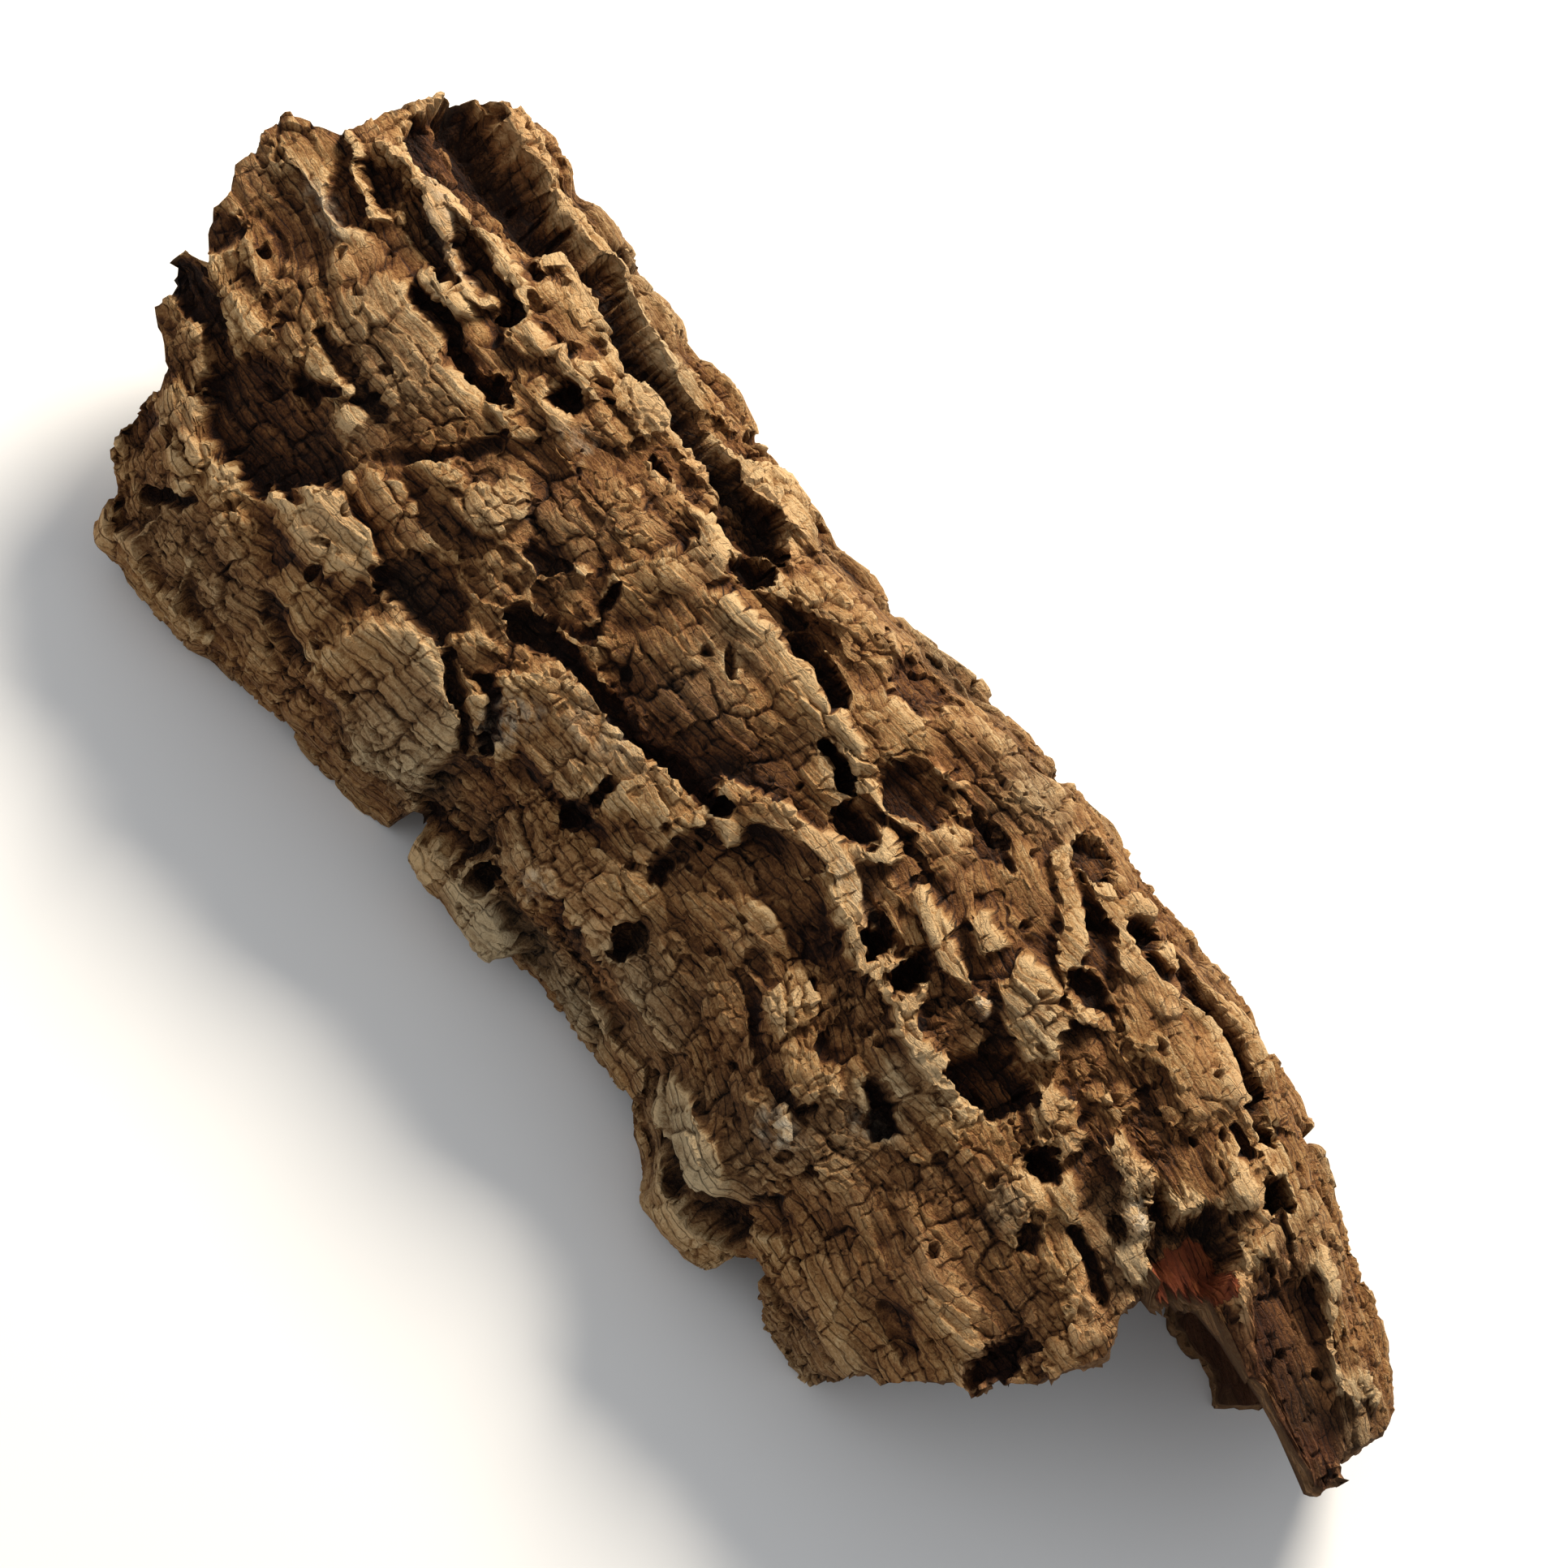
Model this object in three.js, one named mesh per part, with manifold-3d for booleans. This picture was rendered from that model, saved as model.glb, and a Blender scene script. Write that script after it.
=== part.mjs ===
import * as THREE from 'three';
import Module from 'manifold-3d';

// Half-round piece of virgin cork bark, lying on its two long edges with the rough side up.
// Millimetres, +Z up, +X along the length. On the sheet, t is the arc length across it from the
// crown (plus is the +Y side) and h is the height outward from the mean outer face.

// Mesh pitch: the outer face has twice as many rows and columns as the inner face
const rowPairs = 38;
const columnPairs = 24;

// Place of the sheet's own origin, so that the box of the part stands on the frame's origin
const shiftX = -6.3;
const shiftY = 13.4;
const floorZ = 0;

// Mean outer face across the length, from the left foot over the crown to the curled-in lip (y, z)
const section = [
  [-72, -6], [-78, 22], [-66, 50], [-34, 70], [4, 75], [40, 64], [66, 38], [73, 10], [52, 0], [22, 0.5],
];
const sectionLeft = -78;
const sectionRight = 73;
const crownArc = 129.7;

// How far the left and the right wall stand out, and how high the arch is, along the length (x, value)
const leftOut = [
  [-232, 10], [-190, 12], [-150, 22], [-100, 16], [-50, 4.5], [0, -1.5], [45, -3.5], [75, 6], [105, -1],
  [150, 0.5], [235, 1],
];
const rightOut = [
  [-232, -8], [-190, -9], [-150, -10.5], [-100, -12], [-50, -11], [0, -4], [50, 3.5], [105, 5], [145, 0.5],
  [175, -8.5], [205, -21.5], [235, -37],
];
const rise = [[-232, 0.95], [-170, 1], [0, 1], [160, 1], [235, 0.9]];

// Broken ends (t, x) and long edges (x, t)
const startEnd = [
  [-130, -152], [-116, -158], [-105, -159], [-97, -161], [-94, -168], [-90, -170], [-80, -171],
  [-70, -173], [-67, -176], [-65, -190], [-58, -189], [-53, -197], [-50, -196], [-47, -190],
  [-43, -198], [-38, -202], [-34, -202], [-27, -208], [-20, -210], [-13, -213], [-8, -214], [2, -200],
  [16, -203], [30, -203], [42, -203.5], [50, -200], [60, -194], [70, -192], [84, -195], [100, -191], [120, -184],
  [165, -170],
];
const finishEnd = [
  [-130, 127], [-110, 130], [-98, 134], [-88, 136], [-86, 142], [-79, 145], [-70, 150], [-66, 157],
  [-59, 158], [-51, 165], [-42, 166], [-33, 168], [-26, 165], [-22, 162], [-17, 161], [-11, 160],
  [-8, 166], [-1, 168], [4, 172], [6, 190], [9, 200], [11.5, 212], [14, 224], [17, 226], [24, 226], [27, 222],
  [50, 223], [62, 222], [80, 221], [100, 214], [120, 205], [140, 200], [165, 197],
];
const leftEdge = [
  [-214, -118], [-157, -120], [-140, -124], [-96, -126], [-88, -120], [-70, -126], [-52, -120],
  [-47, -99], [-42, -99], [-37, -121], [-10, -124], [0, -116], [6, -116], [16, -124], [38, -122],
  [42, -106], [46, -106], [50, -122], [88, -126], [94, -101], [100, -97], [106, -108], [112, -126],
  [160, -124], [227, -120],
];
const rightEdge = [
  [-214, 118], [-180, 126], [-140, 134], [-110, 133], [-60, 124], [-20, 132], [40, 127], [90, 134],
  [130, 138],
  [150, 152], [170, 164], [180, 163], [188, 158], [195, 160], [199, 152], [205, 138], [227, 130],
];

// Depth of the inner face below the mean outer face, across the sheet (t, depth)
const sheetDepth = [
  [-130, 12], [-100, 16], [-60, 18], [0, 19], [55, 18], [85, 13], [105, 10], [125, 9], [165, 7],
];

// Broad forms of the rough face, painted in this order: centre x and t, half length, half width,
// turn in degrees, height, slope across, softness of the edge
const forms = [
  [-178, -8, 34, 34, 0, 0, 0, 10],
  [-142, -16, 24, 14, 0, 5, 0.3, 8],
  [-112, 14, 22, 16, 0, 5, 0, 8],
  [-132, -82, 42, 20, 0, 2, 0, 8],
  [-100, 31, 16, 8, -4, 7, -0.1, 6],
  [-76, 6, 16, 16, 0, 4, 0, 7],
  [-60, 50, 17, 13, -15, 7, -0.15, 6],
  [-22, 36, 22, 12, -6, 6, -0.1, 6],
  [-17, -8, 38, 23, 0, 4, 0.28, 6],
  [-25, -49, 30, 14, 4, 5, 0, 5],
  [-70, -78, 24, 19, -12, 7, 0.1, 7],
  [-4, -77, 24, 15, 18, 4, 0, 7],
  [40, 44, 34, 15, 0, 4, 0, 8],
  [8, 21, 12, 12, 0, 5, 0, 5],
  [60, 15, 26, 18, -20, 3, 0, 6],
  [58, -66, 40, 13, 0, 1, 0, 7],
  [117, 30, 24, 17, 6, 8, 0, 7],
  [118, -76, 36, 26, 0, 3, 0.05, 8],
  [118, -34, 40, 14, 0, 3, 0, 7],
  [152, 22, 16, 16, 0, 5, 0, 6],
  [150, -32, 18, 16, 0, 3, 0, 6],
  [200, 52, 28, 14, 0, 2, 0, 6],
  [0, 78, 230, 16, 0, 0, 0, 10],
  [-52, 72, 22, 14, 0, -6, 0, 8],
  [2, 68, 14, 12, 0, -6, 0, 8],
  [86, 72, 12, 12, 0, -4, 0, 8],
  [182, 70, 12, 12, 0, -4, 0, 6],
  [-138, -106, 22, 16, 0, 11, 0, 8],
  [-98, -106, 14, 12, 0, 4, 0, 7],
  [-28, -105, 17, 14, 0, 12, 0, 6],
  [79, -107, 18, 9, 0, 9, 0, 5],
  [121, -104, 12, 9, 0, 4, 0, 6],
];

// Plates and blocks that stand up with broken edges, same columns
const plates = [
  [-188, 60, 18, 8, 0, 6, -0.15, 4],
  [-154, 38, 11, 13, 0, -7, -0.3, 4],
  [-203, -11, 9, 9, -20, 3, 0, 3],
  [-169, -15, 6, 6, -40, 4, 0, 2.5],
  [-182, -38, 9, 4, 2, 4, 0, 2.5],
  [-157, -33, 9, 6, -25, 1, 0.3, 3],
  [-193, -52, 5, 4.5, 0, 3, 0, 2.5],
  [-181, -62, 11, 5, 2, 2, 0, 2.5],
  [-148, 5, 9, 5, 8, 8, -0.1, 2.5],
  [-132, 5, 9, 5, 0, 4, 0, 2.5],
  [-127, 16, 6, 6, 0, 8, 0, 2.5],
  [-115, 21, 8, 6, 25, 9, 0, 2.5],
  [-131, 33, 10, 9, -10, 5, -0.2, 3],
  [-99, 31, 11, 6.5, 0, 9, -0.1, 2.5],
  [-110, 8, 12, 4, 0, 6, 0, 2.5],
  [-98, 19, 8, 6, 0, 5, 0, 2.5],
  [-112, -3, 9, 5, -15, 5, 0, 2.5],
  [-142, -16, 19, 12, 0, 6, 0.32, 2.5],
  [-134, -35, 4.5, 5, 0, 2, 0, 2.5],
  [-109, -44, 10, 8, 0, 2, 0.4, 2.5],
  [-107, -27, 9, 6, 0, 4, 0.3, 2.5],
  [-94, -20, 8, 10, 0, 6, -0.1, 2.5],
  [-113, -59, 16, 9, 0, 9, 0, 3.5],
  [-165, -74, 6, 8, 0, 4, 0, 3],
  [-152, -75, 7, 7, 0, 5, 0, 3],
  [-139, -71, 7, 6, 0, 3, 0, 3],
  [-126, -77, 8, 7, 0, 4, 0, 3],
  [-104, -74, 9, 6, 0, 6, 0, 3],
  [-152, -93, 7, 7, 0, 2, 0, 3],
  [-137, -95, 7, 7, 0, 4, 0, 3],
  [-118, -94, 11, 9, 0, 2, 0, 3],
  [-62, 52, 13, 10, -18, 9, -0.1, 4],
  [-45, 38, 5, 5, 0, 5, 0, 2.5],
  [-38, 25, 4.5, 5.5, -15, 6, 0, 2.5],
  [-23, 36, 17, 10, -8, 8, -0.1, 3],
  [-75, 19, 10, 7, 0, 5, 0, 2.5],
  [-60, 21, 9, 6, -18, 7, 0, 2.5],
  [-77, 33, 4, 4, 0, 4, 0, 2.5],
  [-76, 4, 13, 6, 0, 5, 0.2, 2.5],
  [-78, -10, 14, 8, 0, 1, 0.2, 2.5],
  [-54, 0, 8, 21, 0, 7, 0.18, 2.5],
  [-80, -34, 9, 6, 0, 0, 0, 2.5],
  [-60, -26, 9, 6, 0, -1, 0.3, 2.5],
  [-17, -10, 32, 25, 0, 5, 0.32, 3],
  [8, 21, 10, 10, 0, 7, 0, 2.5],
  [-25, -49, 28, 13, 4, 7, -0.05, 2.5],
  [-3, -57, 7, 5, 20, 5, 0, 2.5],
  [5, -34, 8, 8, 0, 7, 0, 3],
  [-25, -68, 9, 6, 0, 2, 0, 3],
  [-68, -50, 6, 6, 0, 3, 0, 2.5],
  [-58, -63, 10, 3.5, -28, 4, 0, 2],
  [-70, -79, 20, 15, -14, 9, 0.1, 4],
  [-5, -76, 20, 12, 20, 7, 0, 4],
  [-21, -105, 17, 9, 0, 11, 0, 4],
  [17, -103, 11, 8, 0, 1, 0, 3],
  [20, -55, 11, 6, 0, 0, 0, 3],
  [20, 46, 14, 13, 0, 5, 0, 4],
  [44, 44, 9, 14, 0, 6, 0, 4],
  [26, 25, 7, 2.5, 0, 5, 0, 2],
  [33, -9, 5.5, 8, 0, 9, 0, 3],
  [43, -13, 6, 5, 0, 3, 0, 2.5],
  [62, -7, 15, 4, 3, 8, 0, 3],
  [56, -13, 6, 3.5, 0, 3, 0, 2.5],
  [43, 10, 8, 10, 0, 2, -0.3, 2.5],
  [55, 10, 5, 10, 0, 3, 0, 2.5],
  [66, 5, 7, 5.5, 0, 8, 0, 2.5],
  [62, 23, 13, 9, -25, 5, -0.1, 3],
  [81, -16, 6, 7, 0, 1, 0.1, 2.5],
  [80, -8, 5, 2.5, 25, 6, 0, 2],
  [90, 2, 13, 7, -25, 8, 0, 2.5],
  [81, 50, 5, 6, 0, 7, 0, 2.5],
  [94, 49, 4, 5, 0, 7, 0, 2.5],
  [117, 31, 19, 12, 8, 10, 0, 4],
  [122, 57, 14, 6, 0, 5, 0, 3],
  [106, 5, 8, 6, 0, 0, 0, 2.5],
  [119, 3, 5, 6, 0, 2, 0, 2.5],
  [114, -13, 11, 8, -15, 7, 0, 2.5],
  [132, -23, 8, 5, -28, 5, 0, 2.5],
  [134, -2, 8, 6, 0, 8, 0, 3],
  [124, -33, 12, 8, 0, 5, 0, 3],
  [92, -33, 13, 7, 0, 4, 0, 3],
  [34, -48, 13, 7, 0, 2, 0, 2.5],
  [52, -50, 8, 7, 0, 6, 0, 3],
  [70, -51, 11, 6, 0, 4, 0, 2.5],
  [77, -64, 5, 3, -35, 4, 0, 2],
  [64, -87, 18, 7, 10, 7, -0.1, 2.5],
  [103, -66, 13, 7, 0, 4, 0, 2.5],
  [130, -60, 18, 8, 0, 5, 0, 3],
  [133, -73, 7, 3.5, 0, -1, 0, 2],
  [118, -86, 22, 13, 0, 4, 0, 4],
  [150, 24, 10, 8, 0, 7, 0, 3],
  [146, -7, 5, 3.5, 0, 7, 0, 2.5],
  [154, -14, 6, 5, 0, 5, 0, 2.5],
  [150, -31, 12, 6, 0, 5, 0, 3],
  [161, -38, 5, 12, 0, 5, 0, 2.5],
  [169, 20, 10, 9, 0, 3, 0, 3],
  [184, 12, 7, 8, 0, 1, 0, 3],
  [184, 38, 7, 9, 0, 6, 0, 3],
  [-184, 76, 12, 7, 0, 3, 0, 4],
  [-186, 96, 10, 9, 0, 2, 0, 4],
  [-158, 84, 12, 8, 10, 4, 0, 3],
  [-130, 74, 14, 6, -5, 3, 0, 3],
  [-134, 96, 13, 8, 0, 3, 0, 4],
  [-100, 84, 14, 9, 6, 4, -0.2, 3],
  [-70, 78, 12, 6, 0, 0, 0, 3],
  [-66, 96, 15, 8, -6, 3, 0, 3],
  [-36, 84, 13, 9, 0, 1, 0, 4],
  [-8, 76, 12, 7, 0, -1, 0, 3],
  [-6, 96, 12, 8, 8, 4, -0.2, 3],
  [22, 82, 14, 9, -8, 1, 0, 3],
  [52, 76, 12, 7, 0, 0, 0, 3],
  [50, 97, 13, 8, 0, 3, 0, 3],
  [82, 86, 14, 8, 5, 0, 0, 3],
  [112, 76, 12, 7, 0, 1, 0, 3],
  [112, 96, 14, 7, -5, 3, 0, 3],
  [142, 84, 13, 9, 0, 2, 0, 3],
  [166, 92, 10, 8, 0, 3, 0, 3],
  [204, 76, 14, 9, 0, 2, 0, 3],
];

// Ridges: half width, height, softness of the edge, then the line (x, t)
const ridges = [
  [4, 3, 4, [-148, 36], [-145, 48], [-143, 64]],
  [3, 8, 3, [-172, 18], [-165, 22], [-158, 25], [-148, 24], [-140, 24], [-133, 21]],
  [2.8, 7, 3, [-192, 13], [-185, 16], [-176, 16], [-168, 13], [-160, 12], [-150, 11], [-143, 14]],
  [2, 6, 3, [-200, 1], [-191, 1], [-185, -1], [-178, 0], [-174, 5]],
  [3, 5, 3, [-200, -13], [-190, -11], [-180, -12], [-173, -9]],
  [2, 2, 2.5, [-190, -48], [-180, -46], [-172, -43], [-167, -41]],
  [3, 5, 3, [-140, 42], [-128, 42], [-120, 38], [-110, 31]],
  [2.4, 6, 2.5, [-54, -52], [-48, -56], [-43, -62], [-40, -67]],
  [2.6, 5, 3, [13, -81], [20, -89], [27, -97]],
  [4, 9, 3.5, [0, -27], [10, -25], [18, -22], [28, -19], [40, -22], [50, -26], [60, -23], [68, -21], [76, -25], [90, -27]],
  [2, 6, 2.5, [18, 3], [28, 2], [36, 4]],
  [4, 8, 3, [58, 38], [68, 33], [76, 27], [86, 18], [95, 11]],
  [5, 8, 4, [66, 46], [80, 42], [90, 34], [100, 37], [112, 42]],
  [3, 6, 3, [190, 38], [198, 33], [206, 33], [211, 42], [216, 49]],
];

// Furrows and cracks, same columns
const furrows = [
  [16, -12, 4, [-186, 34], [-178, 37], [-170, 40]],
  [6, -18, 5, [-198, 43], [-185, 45], [-172, 47], [-162, 51], [-150, 55]],
  [8.5, -16, 4, [-142, 53], [-130, 50.5], [-118, 47], [-106, 46], [-92, 45]],
  [4, -12, 4, [-92, 46], [-84, 42], [-76, 40], [-64, 38]],
  [4, -7, 5, [-190, -54], [-178, -52], [-165, -52]],
  [1.8, -6, 3, [-151, -4], [-144, -1], [-134, -1], [-124, -2], [-117, -1]],
  [1.6, -4, 2.5, [-156, -26], [-143, -30], [-130, -29]],
  [1.5, -4, 2.5, [-120, -34], [-113, -24], [-108, -12]],
  [1.5, -5, 2.5, [-150, -88], [-146, -83], [-144, -78]],
  [3, -10, 3, [-23, 18], [-14, 17], [-5, 15]],
  [5, -10, 6, [166, -6], [172, 3], [190, 6], [212, 12], [226, 16]],
  [2.2, -9, 3.5, [-66, -37], [-50, -36], [-30, -37], [-12, -36], [2, -34]],
  [1.6, -5, 2.5, [-57, -13], [-54, -20], [-52, -28]],
  [1.8, -9, 2.5, [6, 2], [11, 0], [16, -3]],
  [1.6, -5, 2.5, [-58, -55], [-50, -61], [-44, -67]],
  [1.5, -3, 2.5, [-68, -58], [-58, -66], [-48, -71]],
  [1.4, -3, 2.5, [-20, -53], [-17, -60]],
  [2.6, -6, 3, [98, 53], [110, 49], [125, 48], [134, 46]],
  [2.6, -10, 2.5, [84, -41], [88, -43], [92, -46]],
  [1.4, -3, 2.5, [38, -57], [50, -59], [65, -60], [78, -58]],
  [1.2, -5, 2, [141, -25], [149, -23], [156, -24]],
  [3, -10, 3, [137, 49], [141, 44], [147, 43]],
  [2, -6, 3, [46, -96], [58, -98], [70, -97], [78, -93]],
  [2.5, -5, 4, [-172, 68], [-150, 72], [-143, 84], [-118, 86]],
  [2.5, -5, 4, [-176, 86], [-170, 104], [-148, 104], [-120, 102]],
  [2.5, -6, 4, [-84, 70], [-84, 88], [-50, 88], [-50, 72]],
  [2.5, -5, 4, [-24, 66], [-22, 88], [4, 84], [8, 72]],
  [2.5, -6, 4, [36, 68], [37, 90], [64, 88], [67, 74]],
  [2.5, -5, 4, [97, 70], [98, 90], [126, 88], [128, 72]],
  [2.5, -5, 4, [153, 76], [154, 96], [184, 90], [190, 74]],
];

// Hollows and holes: the columns of the forms
const hollows = [
  [-154, 17, 9, 2.8, 0, -2.5, 0, 3],
  [-139, 18, 5, 2.2, -20, -4, 0, 2.5],
  [-167, 7, 12, 3.2, 4, -4.5, 0, 3],
  [-185, 6, 6, 4, 0, -6, 0, 3.5],
  [-186, -6, 8, 4, 0, -3, 0.3, 2.5],
  [-183, -24, 13, 6, 0, -3, 0, 4],
  [-197, -40, 6, 6, 0, -5, 0, 3],
  [-145, -51, 20, 13, 4, -8.5, 0.28, 4],
  [-110, 13, 3.5, 2.5, 0, -6, 0, 2.5],
  [-118, -1, 5, 3, 0, -8, 0, 2.5],
  [-146, -38, 4.5, 3.5, 0, -10, 0, 2.5],
  [-167, -84, 4, 7, 15, -4, 0, 3],
  [-101, -85, 8, 4, 0, -4, 0, 3],
  [-58, 35, 11, 7, -20, -7, 0, 3],
  [-46, 24, 4.5, 5, 0, -10, 0, 2.5],
  [-31, 22, 3.5, 2.5, 0, -4, 0, 2.5],
  [1, 43, 7, 13, 10, -3, 0, 4],
  [28, 12, 9, 8, 0, -5, 0.2, 3],
  [-82, 23, 3, 2, 0, -6, 0, 2.5],
  [-75, -23, 5.5, 4.5, 0, -6, 0, 3],
  [-62, -37, 6, 4, 0, -10, 0, 3],
  [-85, -50, 12, 8, 0, -6, 0.2, 4],
  [-38, -85, 11, 13, 0, -4, 0.15, 5],
  [-17, -62, 3.2, 2.6, 20, -6, 0, 2.5],
  [-23, -94, 3.5, 3.5, 0, -3, 0, 2.5],
  [6, -53, 3, 5.5, 15, -7, 0, 3],
  [13, -43, 9, 5, 0, -3, 0.2, 3],
  [16, -74, 2.5, 5, 0, -6, 0, 2.5],
  [10, -87, 13, 4, 0, -3, 0, 3],
  [31, -35, 16, 6, 0, -4, 0.3, 4],
  [24, -10, 4, 4.5, 0, -8, 0, 2.5],
  [45, 21, 7, 3, 0, -5, 0, 2.5],
  [52, -20, 3.5, 3, 0, -11, 0, 2.5],
  [65, -18, 3.4, 5.5, 0, -12, 0, 2.5],
  [97, -18, 10, 8, 0, -10, 0, 3],
  [92, 17, 5, 3.5, 0, -4, 0, 3],
  [64, 51, 7, 8, 0, -6, 0, 3],
  [79, 34, 3, 3, 0, -4, 0, 2.5],
  [87, 47, 3, 4.5, -20, -7, 0, 2.5],
  [121, -21, 4, 3, 0, -11, 0, 2.5],
  [134, -34, 4, 3, 0, -3, 0, 2.5],
  [39, -52, 4.5, 2.5, 0, -3, 0, 2.5],
  [85, -93, 8, 6, 0, -8, 0, 3],
  [92, -84, 4.5, 4.5, 0, -3, 0, 2.5],
  [149, 1, 5, 3.5, 0, -12, 0, 2.5],
  [145, -13, 3.5, 2, 0, -4, 0, 2.5],
  [155, -58, 3.5, 8.5, 0, -9, 0, 3],
  [162, 38, 4, 5.5, 0, -11, 0, 2.5],
  [145, 34, 4, 3, 0, -3, 0, 2.5],
  [200, 20, 26, 13, -14, -7, 0.15, 6],
  [161, 3, 10, 13, 0, -13.5, 0, 3],
];

// The crests lean over like roof tiles: shift across the sheet and along it per mm of height (t, shift)
const leanAcross = [
  [-130, 0], [-100, 0.4], [-70, 0.45], [-45, 0.2], [-25, -0.1], [0, -0.5], [25, -0.8], [45, -0.9],
  [62, -0.5], [85, 0],
];
const leanAlong = 0.2;

// The long tongue of bark at the far end is thinner: where it starts and ends, and the share left
const thinStart = 165;
const thinEnd = 195;
const thinShare = 0.55;

// Random but repeatable unevenness
const patchLength = 22;
const patchWidth = 12;
const patchHeight = 4;
const roughness = 1.6;
const waver = 2.2;

// How much the middle of a plate stands above its edge
const plateDome = 3;

// The low places are partly filled, so that plates lie against each other (painted height, height)
const filling = [[-20, -15], [-14, -10], [-10, -6.8], [-6, -2.6], [-2, 0.6], [2, 3], [6, 6], [10, 9.4], [16, 14]];

function lookUp(pairs, value) {
  if (value <= pairs[0][0]) {
    return pairs[0][1];
  }
  for (let i = 1; i < pairs.length; i += 1) {
    if (value <= pairs[i][0]) {
      const [x0, y0] = pairs[i - 1];
      const [x1, y1] = pairs[i];
      return y0 + ((y1 - y0) * (value - x0)) / (x1 - x0);
    }
  }
  return pairs[pairs.length - 1][1];
}

function smoothCurve(points, steps) {
  const curve = new THREE.SplineCurve(points.map((p) => new THREE.Vector2(p[0], p[1])));
  return curve.getPoints((points.length - 1) * steps).map((p) => [p.x, p.y]);
}

const leftOutCurve = smoothCurve(leftOut, 24);
const rightOutCurve = smoothCurve(rightOut, 24);
const riseCurve = smoothCurve(rise, 24);
const sectionCurve = smoothCurve(section, 40);

// Section by arc length: y, z and the outward normal
const sectionY = [];
const sectionZ = [];
const sectionNormalY = [];
const sectionNormalZ = [];
let arc = 0;
sectionCurve.forEach((p, i) => {
  const before = sectionCurve[Math.max(0, i - 1)];
  const after = sectionCurve[Math.min(sectionCurve.length - 1, i + 1)];
  const dy = after[0] - before[0];
  const dz = after[1] - before[1];
  const length = Math.hypot(dy, dz);
  arc += i ? Math.hypot(p[0] - before[0], p[1] - before[1]) : 0;
  sectionY.push([arc, p[0]]);
  sectionZ.push([arc, p[1]]);
  sectionNormalY.push([arc, -dz / length]);
  sectionNormalZ.push([arc, dy / length]);
});

// Point of the sheet at x and t, h outward from the mean outer face
function place(x, t, h) {
  const a = t + crownArc;
  const ny = lookUp(sectionNormalY, a);
  const nz = lookUp(sectionNormalZ, a);
  const left = lookUp(leftOutCurve, x);
  const right = lookUp(rightOutCurve, x);
  const widen = 1 + (left + right) / (sectionRight - sectionLeft);
  const y0 = -left - sectionLeft * (widen - 1);
  const y = lookUp(sectionY, a) * widen + y0 + ny * h;
  const z = lookUp(sectionZ, a) * lookUp(riseCurve, x) + nz * h;
  return [x + shiftX, y + shiftY, z];
}

function random(i, j, seed) {
  let n = Math.imul(i, 374761393) ^ Math.imul(j, 668265263) ^ Math.imul(seed, 1442695041);
  n = Math.imul(n ^ (n >>> 13), 1274126177);
  n = Math.imul(n ^ (n >>> 15), 739188397);
  return ((n ^ (n >>> 16)) >>> 0) / 4294967296;
}

function ease(value) {
  const u = Math.min(1, Math.max(0, value));
  return u * u * (3 - 2 * u);
}

// Smooth random field from -1 to 1
function field(x, t, seed) {
  const i = Math.floor(x);
  const j = Math.floor(t);
  const u = ease(x - i);
  const v = ease(t - j);
  const low = random(i, j, seed) * (1 - u) + random(i + 1, j, seed) * u;
  const high = random(i, j + 1, seed) * (1 - u) + random(i + 1, j + 1, seed) * u;
  return 2 * (low * (1 - v) + high * v) - 1;
}

// Irregular patches at their own heights, from the nearest of the scattered centres
function patches(x, t) {
  const px = x / patchLength;
  const pt = t / patchWidth;
  const i0 = Math.floor(px);
  const j0 = Math.floor(pt);
  let nearest = 1e9;
  let height = 0;
  for (let i = i0 - 1; i <= i0 + 1; i += 1) {
    for (let j = j0 - 1; j <= j0 + 1; j += 1) {
      const du = px - i - 0.1 - 0.8 * random(i, j, 11);
      const dv = pt - j - 0.1 - 0.8 * random(i, j, 12);
      const distance = du * du + dv * dv;
      if (distance < nearest) {
        nearest = distance;
        height = (random(i, j, 13) - 0.5) * patchHeight + (random(i, j, 14) - 0.4) * dv * 6;
      }
    }
  }
  return height;
}

function paintBlock(height, x, t, block, dome) {
  const [cx, ct, halfLength, halfWidth, turn, level, slope, edge] = block;
  const c = Math.cos((turn * Math.PI) / 180);
  const s = Math.sin((turn * Math.PI) / 180);
  const u = (x - cx) * c + (t - ct) * s;
  const v = -(x - cx) * s + (t - ct) * c;
  const r = Math.cbrt(Math.abs(u / halfLength) ** 3 + Math.abs(v / halfWidth) ** 3);
  const inside = (1 - r) * Math.min(halfLength, halfWidth);
  const share = ease(inside / edge + 0.5);
  return height * (1 - share) + (level + slope * v + dome * (0.4 - r * r)) * share;
}

function paintLine(height, x, t, line) {
  const [half, level, edge, ...points] = line;
  let distance = 1e9;
  for (let i = 1; i < points.length; i += 1) {
    const [x0, t0] = points[i - 1];
    const [x1, t1] = points[i];
    const dx = x1 - x0;
    const dt = t1 - t0;
    const k = Math.min(1, Math.max(0, ((x - x0) * dx + (t - t0) * dt) / (dx * dx + dt * dt)));
    distance = Math.min(distance, Math.hypot(x - x0 - k * dx, t - t0 - k * dt));
  }
  const share = ease((half - distance) / edge + 0.5);
  return height * (1 - share) + level * share;
}

function depthAt(x, t) {
  return lookUp(sheetDepth, t) * (1 - (1 - thinShare) * ease((x - thinStart) / (thinEnd - thinStart)));
}

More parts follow.
